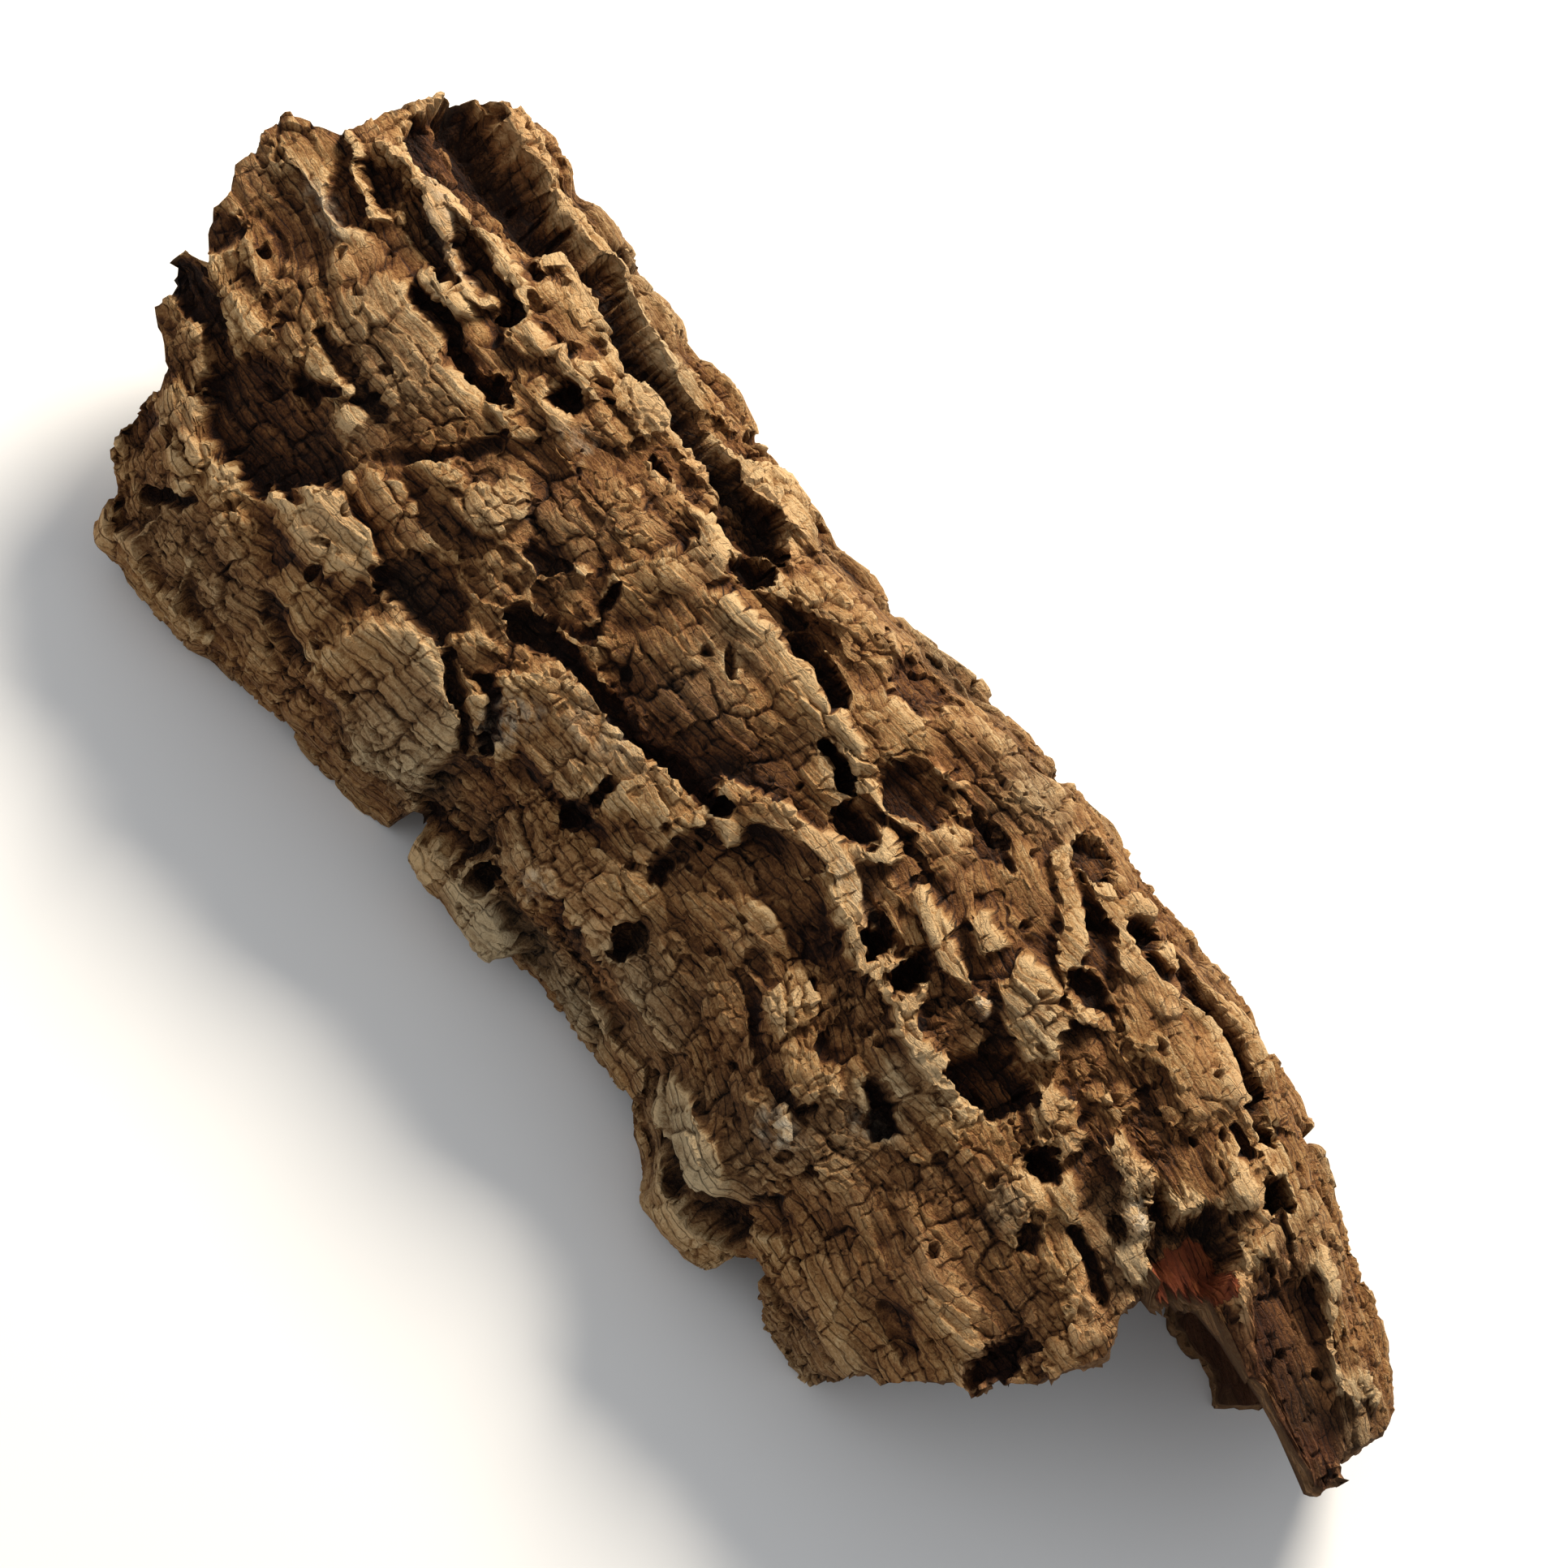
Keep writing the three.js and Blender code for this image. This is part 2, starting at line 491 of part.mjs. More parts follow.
// Height of the rough outer face at x and t
function relief(x, t) {
  const wx = x + waver * field(x / 11, t / 9, 1);
  const wt = t + waver * field(x / 11, t / 9, 3);
  let height = patches(wx, wt);
  forms.forEach((block) => {
    height = paintBlock(height, wx, wt, block, 0) * 0.7 + height * 0.3;
  });
  plates.forEach((block) => {
    height = paintBlock(height, wx, wt, block, plateDome);
  });
  ridges.forEach((line) => {
    height = paintLine(height, wx, wt, line);
  });
  furrows.forEach((line) => {
    height = paintLine(height, wx, wt, line);
  });
  hollows.forEach((block) => {
    height = paintBlock(height, wx, wt, block, 0);
  });
  height = lookUp(filling, height) + roughness * field(x / 13, t / 9, 5);
  const calm = ease((t - 100) / 16);
  const level = height * (1 - calm) + (0.6 + 0.35 * height) * calm;
  return Math.max(level, 4.5 - depthAt(x, t));
}

// Inner face: gently uneven
function innerDepth(x, t) {
  return -depthAt(x, t) + 1.2 * field(x / 30, t / 18, 7) + 0.5 * field(x / 11, t / 9, 8);
}

// Columns are even in the middle and stretched to the two long edges; rows are stretched to the two ends
const innerLeft = -94;
const innerRight = 100;
const leftColumns = 6;
const rightColumns = 8;
const startZone = -128;
const finishZone = 96;

function columnAt(x, j) {
  const middle = 2 * columnPairs - leftColumns - rightColumns;
  if (j < leftColumns) {
    return lookUp(leftEdge, x) + ((innerLeft - lookUp(leftEdge, x)) * j) / leftColumns;
  }
  if (j <= leftColumns + middle) {
    return innerLeft + ((innerRight - innerLeft) * (j - leftColumns)) / middle;
  }
  return innerRight + ((lookUp(rightEdge, x) - innerRight) * (j - leftColumns - middle)) / rightColumns;
}

function gridPoint(i, j) {
  const evenX = -200 + (420 * i) / (2 * rowPairs);
  let x = evenX;
  let t = columnAt(x, j);
  if (evenX < startZone) {
    x = startZone + ((lookUp(startEnd, t) - startZone) * (startZone - evenX)) / (startZone + 200);
  }
  if (evenX > finishZone) {
    x = finishZone + ((lookUp(finishEnd, t) - finishZone) * (evenX - finishZone)) / (220 - finishZone);
  }
  t = columnAt(x, j);
  return [x, t];
}

const positions = [];
const outer = [];
const inner = [];
for (let i = 0; i <= 2 * rowPairs; i += 1) {
  outer.push([]);
  for (let j = 0; j <= 2 * columnPairs; j += 1) {
    const [x, t] = gridPoint(i, j);
    const height = relief(x, t);
    const crest = Math.max(0, height);
    outer[i].push(positions.length / 3);
    positions.push(...place(x + leanAlong * crest, t + lookUp(leanAcross, t) * crest, height));
  }
}
for (let i = 0; i <= rowPairs; i += 1) {
  inner.push([]);
  for (let j = 0; j <= columnPairs; j += 1) {
    const [x, t] = gridPoint(2 * i, 2 * j);
    inner[i].push(positions.length / 3);
    positions.push(...place(x, t, Math.min(innerDepth(x, t), relief(x, t) - 3.5)));
  }
}

const triangles = [];
function gap(a, b) {
  return Math.hypot(...[0, 1, 2].map((k) => positions[3 * a + k] - positions[3 * b + k]));
}
// Two triangles, split along the shorter diagonal
function quad(a, b, c, d) {
  if (gap(a, c) < gap(b, d)) {
    triangles.push(a, b, c, a, c, d);
  } else {
    triangles.push(a, b, d, b, c, d);
  }
}
for (let i = 0; i < 2 * rowPairs; i += 1) {
  for (let j = 0; j < 2 * columnPairs; j += 1) {
    quad(outer[i][j], outer[i + 1][j], outer[i + 1][j + 1], outer[i][j + 1]);
  }
}
for (let i = 0; i < rowPairs; i += 1) {
  for (let j = 0; j < columnPairs; j += 1) {
    quad(inner[i][j], inner[i][j + 1], inner[i + 1][j + 1], inner[i + 1][j]);
  }
}
// Edge strips: two outer steps to one inner step
function strip(a, b, c, low, high) {
  triangles.push(a, b, low, b, high, low, b, c, high);
}
for (let i = 0; i < rowPairs; i += 1) {
  const last = 2 * columnPairs;
  strip(outer[2 * i + 2][0], outer[2 * i + 1][0], outer[2 * i][0], inner[i + 1][0], inner[i][0]);
  strip(outer[2 * i][last], outer[2 * i + 1][last], outer[2 * i + 2][last],
    inner[i][columnPairs], inner[i + 1][columnPairs]);
}
for (let j = 0; j < columnPairs; j += 1) {
  const last = 2 * rowPairs;
  strip(outer[0][2 * j], outer[0][2 * j + 1], outer[0][2 * j + 2], inner[0][j], inner[0][j + 1]);
  strip(outer[last][2 * j + 2], outer[last][2 * j + 1], outer[last][2 * j],
    inner[rowPairs][j + 1], inner[rowPairs][j]);
}

// The sheet stands on the floor where its edges reach it: everything below is trimmed flat
const wasm = await Module();
wasm.setup();
const { Manifold, Mesh } = wasm;
const sheet = new Manifold(new Mesh({
  numProp: 3,
  vertProperties: new Float32Array(positions),
  triVerts: new Uint32Array(triangles),
}));
const trimmed = sheet.trimByPlane([0, 0, 1], floorZ);
const result = trimmed.getMesh();

const geometry = new THREE.BufferGeometry();
geometry.setAttribute('position', new THREE.BufferAttribute(new Float32Array(result.vertProperties), 3));
geometry.setIndex(new THREE.BufferAttribute(new Uint32Array(result.triVerts), 1));
geometry.computeVertexNormals();

const cork = new THREE.Mesh(geometry, new THREE.MeshStandardMaterial({
  name: 'cork',
  color: 0x80603f,
  roughness: 0.95,
  metalness: 0,
}));
cork.name = 'cork_bark';

const group = new THREE.Group();
group.name = 'cork_bark_piece';
group.add(cork);

export default group;
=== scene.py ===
# Half-round piece of virgin cork bark, lying on its two long edges with the rough side up.
# The bark is one sheet. On the sheet, x runs along the length, t is the arc length across it from
# the crown (plus is the +Y side) and h is the height outward from the mean outer face, all in
# millimetres. Only the finished mesh is in metres.
import math
import bpy
import numpy as np
from mathutils import Matrix, Vector


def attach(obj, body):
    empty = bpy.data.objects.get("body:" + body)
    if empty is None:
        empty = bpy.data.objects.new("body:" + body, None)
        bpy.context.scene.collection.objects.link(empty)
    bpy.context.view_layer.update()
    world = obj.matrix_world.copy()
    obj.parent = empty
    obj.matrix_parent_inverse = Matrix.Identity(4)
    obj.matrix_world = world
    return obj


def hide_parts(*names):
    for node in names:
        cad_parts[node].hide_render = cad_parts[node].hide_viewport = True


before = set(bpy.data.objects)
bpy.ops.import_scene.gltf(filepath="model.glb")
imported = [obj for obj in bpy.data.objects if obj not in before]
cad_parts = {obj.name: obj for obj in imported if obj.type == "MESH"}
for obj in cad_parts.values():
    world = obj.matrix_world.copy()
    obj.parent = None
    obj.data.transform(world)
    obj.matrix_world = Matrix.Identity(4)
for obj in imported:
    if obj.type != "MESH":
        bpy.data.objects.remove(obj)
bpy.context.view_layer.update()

MM = 0.001
FLOOR = 0.0

# Rows and columns of the rough face with their mean pitch, rings of the broken rim, triangles kept
ROWS = 820
COLUMNS = 500
PITCH = 0.55
RIM_RINGS = 16
FACES_KEPT = 196000
SMOOTH_ANGLE = math.radians(38)

# Place of the sheet's own origin in the frame
SHIFT_X = -6.3
SHIFT_Y = 13.4

# Mean outer face across the length, from the left foot over the crown to the curled-in lip (y, z)
SECTION = [
    (-72, -6), (-78, 22), (-66, 50), (-34, 70), (4, 75), (40, 64), (66, 38), (73, 10), (52, 0),
    (22, 0.5),
]
SECTION_LEFT = -78
SECTION_RIGHT = 73
CROWN_ARC = 129.7

# How far the left and the right wall stand out, and how high the arch is, along the length (x, value)
LEFT_OUT = [
    (-232, 10), (-190, 12), (-150, 22), (-100, 16), (-50, 4.5), (0, -1.5), (45, -3.5), (75, 6),
    (105, -1), (150, 0.5), (235, 1),
]
RIGHT_OUT = [
    (-232, -8), (-190, -9), (-150, -10.5), (-100, -12), (-50, -11), (0, -4), (50, 3.5), (105, 5),
    (145, 0.5), (175, -8.5), (205, -21.5), (235, -37),
]
RISE = [
    (-232, 0.95), (-170, 1), (0, 1), (160, 1), (235, 0.9),
]

# Broken ends (t, x) and long edges (x, t)
START_END = [
    (-130, -152), (-116, -158), (-105, -159), (-97, -161), (-94, -168), (-90, -170), (-80, -171),
    (-70, -173), (-67, -176), (-65, -190), (-58, -189), (-53, -197), (-50, -196), (-47, -190),
    (-43, -198), (-38, -202), (-34, -202), (-27, -208), (-20, -210), (-13, -213), (-8, -214),
    (2, -200), (16, -203), (30, -203), (42, -203.5), (50, -200), (60, -194), (70, -192), (84, -195),
    (100, -191), (120, -184), (165, -170),
]
FINISH_END = [
    (-130, 127), (-110, 130), (-98, 134), (-88, 136), (-86, 142), (-79, 145), (-70, 150),
    (-66, 157), (-59, 158), (-51, 165), (-42, 166), (-33, 168), (-26, 165), (-22, 162), (-17, 161),
    (-11, 160), (-8, 166), (-1, 168), (4, 172), (6, 190), (9, 200), (11.5, 212), (14, 224),
    (17, 226), (24, 226), (27, 222), (50, 223), (62, 222), (80, 221), (100, 214), (120, 205),
    (140, 200), (165, 197),
]
LEFT_EDGE = [
    (-214, -118), (-157, -120), (-140, -124), (-96, -126), (-88, -120), (-70, -126), (-52, -120),
    (-47, -99), (-42, -99), (-37, -121), (-10, -124), (0, -116), (6, -116), (16, -124), (38, -122),
    (42, -106), (46, -106), (50, -122), (88, -126), (94, -101), (100, -97), (106, -108),
    (112, -126), (160, -124), (227, -120),
]
RIGHT_EDGE = [
    (-214, 118), (-180, 126), (-140, 134), (-110, 133), (-60, 124), (-20, 132), (40, 127),
    (90, 134), (130, 138), (150, 152), (170, 164), (180, 163), (188, 158), (195, 160), (199, 152),
    (205, 138), (227, 130),
]

# Depth of the inner face below the mean outer face, across the sheet (t, depth)
SHEET_DEPTH = [
    (-130, 12), (-100, 16), (-60, 18), (0, 19), (55, 18), (85, 13), (105, 10), (125, 9), (165, 7),
]

# Broad forms of the rough face, painted in this order: centre x and t, half length, half width,
# turn in degrees, height, slope across, softness of the edge
FORMS = [
    (-178, -8, 34, 34, 0, 0, 0, 10), (-142, -16, 24, 14, 0, 5, 0.3, 8),
    (-112, 14, 22, 16, 0, 5, 0, 8), (-132, -82, 42, 20, 0, 2, 0, 8),
    (-100, 31, 16, 8, -4, 7, -0.1, 6), (-76, 6, 16, 16, 0, 4, 0, 7),
    (-60, 50, 17, 13, -15, 7, -0.15, 6), (-22, 36, 22, 12, -6, 6, -0.1, 6),
    (-17, -8, 38, 23, 0, 4, 0.28, 6), (-25, -49, 30, 14, 4, 5, 0, 5),
    (-70, -78, 24, 19, -12, 7, 0.1, 7), (-4, -77, 24, 15, 18, 4, 0, 7),
    (40, 44, 34, 15, 0, 4, 0, 8), (8, 21, 12, 12, 0, 5, 0, 5), (60, 15, 26, 18, -20, 3, 0, 6),
    (58, -66, 40, 13, 0, 1, 0, 7), (117, 30, 24, 17, 6, 8, 0, 7), (118, -76, 36, 26, 0, 3, 0.05, 8),
    (118, -34, 40, 14, 0, 3, 0, 7), (152, 22, 16, 16, 0, 5, 0, 6), (150, -32, 18, 16, 0, 3, 0, 6),
    (200, 52, 28, 14, 0, 2, 0, 6), (0, 78, 230, 16, 0, 0, 0, 10), (-52, 72, 22, 14, 0, -6, 0, 8),
    (2, 68, 14, 12, 0, -6, 0, 8), (86, 72, 12, 12, 0, -4, 0, 8), (182, 70, 12, 12, 0, -4, 0, 6),
    (-138, -106, 22, 16, 0, 11, 0, 8), (-98, -106, 14, 12, 0, 4, 0, 7),
    (-28, -105, 17, 14, 0, 12, 0, 6), (79, -107, 18, 9, 0, 9, 0, 5), (121, -104, 12, 9, 0, 4, 0, 6),
]

# Plates and blocks that stand up with broken edges, same columns
PLATES = [
    (-188, 60, 18, 8, 0, 6, -0.15, 4), (-154, 38, 11, 13, 0, -7, -0.3, 4),
    (-203, -11, 9, 9, -20, 3, 0, 3), (-169, -15, 6, 6, -40, 4, 0, 2.5),
    (-182, -38, 9, 4, 2, 4, 0, 2.5), (-157, -33, 9, 6, -25, 1, 0.3, 3),
    (-193, -52, 5, 4.5, 0, 3, 0, 2.5), (-181, -62, 11, 5, 2, 2, 0, 2.5),
    (-148, 5, 9, 5, 8, 8, -0.1, 2.5), (-132, 5, 9, 5, 0, 4, 0, 2.5), (-127, 16, 6, 6, 0, 8, 0, 2.5),
    (-115, 21, 8, 6, 25, 9, 0, 2.5), (-131, 33, 10, 9, -10, 5, -0.2, 3),
    (-99, 31, 11, 6.5, 0, 9, -0.1, 2.5), (-110, 8, 12, 4, 0, 6, 0, 2.5),
    (-98, 19, 8, 6, 0, 5, 0, 2.5), (-112, -3, 9, 5, -15, 5, 0, 2.5),
    (-142, -16, 19, 12, 0, 6, 0.32, 2.5), (-134, -35, 4.5, 5, 0, 2, 0, 2.5),
    (-109, -44, 10, 8, 0, 2, 0.4, 2.5), (-107, -27, 9, 6, 0, 4, 0.3, 2.5),
    (-94, -20, 8, 10, 0, 6, -0.1, 2.5), (-113, -59, 16, 9, 0, 9, 0, 3.5),
    (-165, -74, 6, 8, 0, 4, 0, 3), (-152, -75, 7, 7, 0, 5, 0, 3), (-139, -71, 7, 6, 0, 3, 0, 3),
    (-126, -77, 8, 7, 0, 4, 0, 3), (-104, -74, 9, 6, 0, 6, 0, 3), (-152, -93, 7, 7, 0, 2, 0, 3),
    (-137, -95, 7, 7, 0, 4, 0, 3), (-118, -94, 11, 9, 0, 2, 0, 3),
    (-62, 52, 13, 10, -18, 9, -0.1, 4), (-45, 38, 5, 5, 0, 5, 0, 2.5),
    (-38, 25, 4.5, 5.5, -15, 6, 0, 2.5), (-23, 36, 17, 10, -8, 8, -0.1, 3),
    (-75, 19, 10, 7, 0, 5, 0, 2.5), (-60, 21, 9, 6, -18, 7, 0, 2.5), (-77, 33, 4, 4, 0, 4, 0, 2.5),
    (-76, 4, 13, 6, 0, 5, 0.2, 2.5), (-78, -10, 14, 8, 0, 1, 0.2, 2.5),
    (-54, 0, 8, 21, 0, 7, 0.18, 2.5), (-80, -34, 9, 6, 0, 0, 0, 2.5),
    (-60, -26, 9, 6, 0, -1, 0.3, 2.5), (-17, -10, 32, 25, 0, 5, 0.32, 3),
    (8, 21, 10, 10, 0, 7, 0, 2.5), (-25, -49, 28, 13, 4, 7, -0.05, 2.5),
    (-3, -57, 7, 5, 20, 5, 0, 2.5), (5, -34, 8, 8, 0, 7, 0, 3), (-25, -68, 9, 6, 0, 2, 0, 3),
    (-68, -50, 6, 6, 0, 3, 0, 2.5), (-58, -63, 10, 3.5, -28, 4, 0, 2),
    (-70, -79, 20, 15, -14, 9, 0.1, 4), (-5, -76, 20, 12, 20, 7, 0, 4),
    (-21, -105, 17, 9, 0, 11, 0, 4), (17, -103, 11, 8, 0, 1, 0, 3), (20, -55, 11, 6, 0, 0, 0, 3),
    (20, 46, 14, 13, 0, 5, 0, 4), (44, 44, 9, 14, 0, 6, 0, 4), (26, 25, 7, 2.5, 0, 5, 0, 2),
    (33, -9, 5.5, 8, 0, 9, 0, 3), (43, -13, 6, 5, 0, 3, 0, 2.5), (62, -7, 15, 4, 3, 8, 0, 3),
    (56, -13, 6, 3.5, 0, 3, 0, 2.5), (43, 10, 8, 10, 0, 2, -0.3, 2.5),
    (55, 10, 5, 10, 0, 3, 0, 2.5), (66, 5, 7, 5.5, 0, 8, 0, 2.5), (62, 23, 13, 9, -25, 5, -0.1, 3),
    (81, -16, 6, 7, 0, 1, 0.1, 2.5), (80, -8, 5, 2.5, 25, 6, 0, 2), (90, 2, 13, 7, -25, 8, 0, 2.5),
    (81, 50, 5, 6, 0, 7, 0, 2.5), (94, 49, 4, 5, 0, 7, 0, 2.5), (117, 31, 19, 12, 8, 10, 0, 4),
    (122, 57, 14, 6, 0, 5, 0, 3), (106, 5, 8, 6, 0, 0, 0, 2.5), (119, 3, 5, 6, 0, 2, 0, 2.5),
    (114, -13, 11, 8, -15, 7, 0, 2.5), (132, -23, 8, 5, -28, 5, 0, 2.5),
    (134, -2, 8, 6, 0, 8, 0, 3), (124, -33, 12, 8, 0, 5, 0, 3), (92, -33, 13, 7, 0, 4, 0, 3),
    (34, -48, 13, 7, 0, 2, 0, 2.5), (52, -50, 8, 7, 0, 6, 0, 3), (70, -51, 11, 6, 0, 4, 0, 2.5),
    (77, -64, 5, 3, -35, 4, 0, 2), (64, -87, 18, 7, 10, 7, -0.1, 2.5),
    (103, -66, 13, 7, 0, 4, 0, 2.5), (130, -60, 18, 8, 0, 5, 0, 3), (133, -73, 7, 3.5, 0, -1, 0, 2),
    (118, -86, 22, 13, 0, 4, 0, 4), (150, 24, 10, 8, 0, 7, 0, 3), (146, -7, 5, 3.5, 0, 7, 0, 2.5),
    (154, -14, 6, 5, 0, 5, 0, 2.5), (150, -31, 12, 6, 0, 5, 0, 3), (161, -38, 5, 12, 0, 5, 0, 2.5),
    (169, 20, 10, 9, 0, 3, 0, 3), (184, 12, 7, 8, 0, 1, 0, 3), (184, 38, 7, 9, 0, 6, 0, 3),
    (-184, 76, 12, 7, 0, 3, 0, 4), (-186, 96, 10, 9, 0, 2, 0, 4), (-158, 84, 12, 8, 10, 4, 0, 3),
    (-130, 74, 14, 6, -5, 3, 0, 3), (-134, 96, 13, 8, 0, 3, 0, 4), (-100, 84, 14, 9, 6, 4, -0.2, 3),
    (-70, 78, 12, 6, 0, 0, 0, 3), (-66, 96, 15, 8, -6, 3, 0, 3), (-36, 84, 13, 9, 0, 1, 0, 4),
    (-8, 76, 12, 7, 0, -1, 0, 3), (-6, 96, 12, 8, 8, 4, -0.2, 3), (22, 82, 14, 9, -8, 1, 0, 3),
    (52, 76, 12, 7, 0, 0, 0, 3), (50, 97, 13, 8, 0, 3, 0, 3), (82, 86, 14, 8, 5, 0, 0, 3),
    (112, 76, 12, 7, 0, 1, 0, 3), (112, 96, 14, 7, -5, 3, 0, 3), (142, 84, 13, 9, 0, 2, 0, 3),
    (166, 92, 10, 8, 0, 3, 0, 3), (204, 76, 14, 9, 0, 2, 0, 3),
]

# Ridges: half width, height, softness of the edge, then the line (x, t)
RIDGES = [
    (4, 3, 4, (-148, 36), (-145, 48), (-143, 64)),
    (3, 8, 3, (-172, 18), (-165, 22), (-158, 25), (-148, 24), (-140, 24), (-133, 21)),
    (2.8, 7, 3, (-192, 13), (-185, 16), (-176, 16), (-168, 13), (-160, 12), (-150, 11), (-143, 14)),
    (2, 6, 3, (-200, 1), (-191, 1), (-185, -1), (-178, 0), (-174, 5)),
    (3, 5, 3, (-200, -13), (-190, -11), (-180, -12), (-173, -9)),
    (2, 2, 2.5, (-190, -48), (-180, -46), (-172, -43), (-167, -41)),
    (3, 5, 3, (-140, 42), (-128, 42), (-120, 38), (-110, 31)),
    (2.4, 6, 2.5, (-54, -52), (-48, -56), (-43, -62), (-40, -67)),
    (2.6, 5, 3, (13, -81), (20, -89), (27, -97)),
    (4, 9, 3.5, (0, -27), (10, -25), (18, -22), (28, -19), (40, -22), (50, -26), (60, -23), (68, -21),
     (76, -25), (90, -27)),
    (2, 6, 2.5, (18, 3), (28, 2), (36, 4)),
    (4, 8, 3, (58, 38), (68, 33), (76, 27), (86, 18), (95, 11)),
    (5, 8, 4, (66, 46), (80, 42), (90, 34), (100, 37), (112, 42)),
    (3, 6, 3, (190, 38), (198, 33), (206, 33), (211, 42), (216, 49)),
]

# Furrows and cracks, same columns
FURROWS = [
    (16, -12, 4, (-186, 34), (-178, 37), (-170, 40)),
    (6, -18, 5, (-198, 43), (-185, 45), (-172, 47), (-162, 51), (-150, 55)),
    (8.5, -16, 4, (-142, 53), (-130, 50.5), (-118, 47), (-106, 46), (-92, 45)),
    (4, -12, 4, (-92, 46), (-84, 42), (-76, 40), (-64, 38)),
    (4, -7, 5, (-190, -54), (-178, -52), (-165, -52)),
    (1.8, -6, 3, (-151, -4), (-144, -1), (-134, -1), (-124, -2), (-117, -1)),
    (1.6, -4, 2.5, (-156, -26), (-143, -30), (-130, -29)),
    (1.5, -4, 2.5, (-120, -34), (-113, -24), (-108, -12)),
    (1.5, -5, 2.5, (-150, -88), (-146, -83), (-144, -78)),
    (3, -10, 3, (-23, 18), (-14, 17), (-5, 15)),
    (5, -10, 6, (166, -6), (172, 3), (190, 6), (212, 12), (226, 16)),
    (2.2, -9, 3.5, (-66, -37), (-50, -36), (-30, -37), (-12, -36), (2, -34)),
    (1.6, -5, 2.5, (-57, -13), (-54, -20), (-52, -28)),
    (1.8, -9, 2.5, (6, 2), (11, 0), (16, -3)),
    (1.6, -5, 2.5, (-58, -55), (-50, -61), (-44, -67)),
    (1.5, -3, 2.5, (-68, -58), (-58, -66), (-48, -71)),
    (1.4, -3, 2.5, (-20, -53), (-17, -60)),
    (2.6, -6, 3, (98, 53), (110, 49), (125, 48), (134, 46)),
    (2.6, -10, 2.5, (84, -41), (88, -43), (92, -46)),
    (1.4, -3, 2.5, (38, -57), (50, -59), (65, -60), (78, -58)),
    (1.2, -5, 2, (141, -25), (149, -23), (156, -24)),
    (3, -10, 3, (137, 49), (141, 44), (147, 43)),
    (2, -6, 3, (46, -96), (58, -98), (70, -97), (78, -93)),
    (2.5, -5, 4, (-172, 68), (-150, 72), (-143, 84), (-118, 86)),
    (2.5, -5, 4, (-176, 86), (-170, 104), (-148, 104), (-120, 102)),
    (2.5, -6, 4, (-84, 70), (-84, 88), (-50, 88), (-50, 72)),
    (2.5, -5, 4, (-24, 66), (-22, 88), (4, 84), (8, 72)),
    (2.5, -6, 4, (36, 68), (37, 90), (64, 88), (67, 74)),
    (2.5, -5, 4, (97, 70), (98, 90), (126, 88), (128, 72)),
    (2.5, -5, 4, (153, 76), (154, 96), (184, 90), (190, 74)),
]

# Hollows and holes: the columns of the forms
HOLLOWS = [
    (-154, 17, 9, 2.8, 0, -2.5, 0, 3), (-139, 18, 5, 2.2, -20, -4, 0, 2.5),
    (-167, 7, 12, 3.2, 4, -4.5, 0, 3), (-185, 6, 6, 4, 0, -6, 0, 3.5),
    (-186, -6, 8, 4, 0, -3, 0.3, 2.5), (-183, -24, 13, 6, 0, -3, 0, 4),
    (-197, -40, 6, 6, 0, -5, 0, 3), (-145, -51, 20, 13, 4, -8.5, 0.28, 4),
    (-110, 13, 3.5, 2.5, 0, -6, 0, 2.5), (-118, -1, 5, 3, 0, -8, 0, 2.5),
    (-146, -38, 4.5, 3.5, 0, -10, 0, 2.5), (-167, -84, 4, 7, 15, -4, 0, 3),
    (-101, -85, 8, 4, 0, -4, 0, 3), (-58, 35, 11, 7, -20, -7, 0, 3),
    (-46, 24, 4.5, 5, 0, -10, 0, 2.5), (-31, 22, 3.5, 2.5, 0, -4, 0, 2.5),
    (1, 43, 7, 13, 10, -3, 0, 4), (28, 12, 9, 8, 0, -5, 0.2, 3), (-82, 23, 3, 2, 0, -6, 0, 2.5),
    (-75, -23, 5.5, 4.5, 0, -6, 0, 3), (-62, -37, 6, 4, 0, -10, 0, 3),
    (-85, -50, 12, 8, 0, -6, 0.2, 4), (-38, -85, 11, 13, 0, -4, 0.15, 5),
    (-17, -62, 3.2, 2.6, 20, -6, 0, 2.5), (-23, -94, 3.5, 3.5, 0, -3, 0, 2.5),
    (6, -53, 3, 5.5, 15, -7, 0, 3), (13, -43, 9, 5, 0, -3, 0.2, 3),
    (16, -74, 2.5, 5, 0, -6, 0, 2.5), (10, -87, 13, 4, 0, -3, 0, 3),
    (31, -35, 16, 6, 0, -4, 0.3, 4), (24, -10, 4, 4.5, 0, -8, 0, 2.5),
    (45, 21, 7, 3, 0, -5, 0, 2.5), (52, -20, 3.5, 3, 0, -11, 0, 2.5),
    (65, -18, 3.4, 5.5, 0, -12, 0, 2.5), (97, -18, 10, 8, 0, -10, 0, 3),
    (92, 17, 5, 3.5, 0, -4, 0, 3), (64, 51, 7, 8, 0, -6, 0, 3), (79, 34, 3, 3, 0, -4, 0, 2.5),
    (87, 47, 3, 4.5, -20, -7, 0, 2.5), (121, -21, 4, 3, 0, -11, 0, 2.5),
    (134, -34, 4, 3, 0, -3, 0, 2.5), (39, -52, 4.5, 2.5, 0, -3, 0, 2.5),
    (85, -93, 8, 6, 0, -8, 0, 3), (92, -84, 4.5, 4.5, 0, -3, 0, 2.5),
    (149, 1, 5, 3.5, 0, -12, 0, 2.5), (145, -13, 3.5, 2, 0, -4, 0, 2.5),
    (155, -58, 3.5, 8.5, 0, -9, 0, 3), (162, 38, 4, 5.5, 0, -11, 0, 2.5),
    (145, 34, 4, 3, 0, -3, 0, 2.5), (200, 20, 26, 13, -14, -7, 0.15, 6),
    (161, 3, 10, 13, 0, -13.5, 0, 3),
]

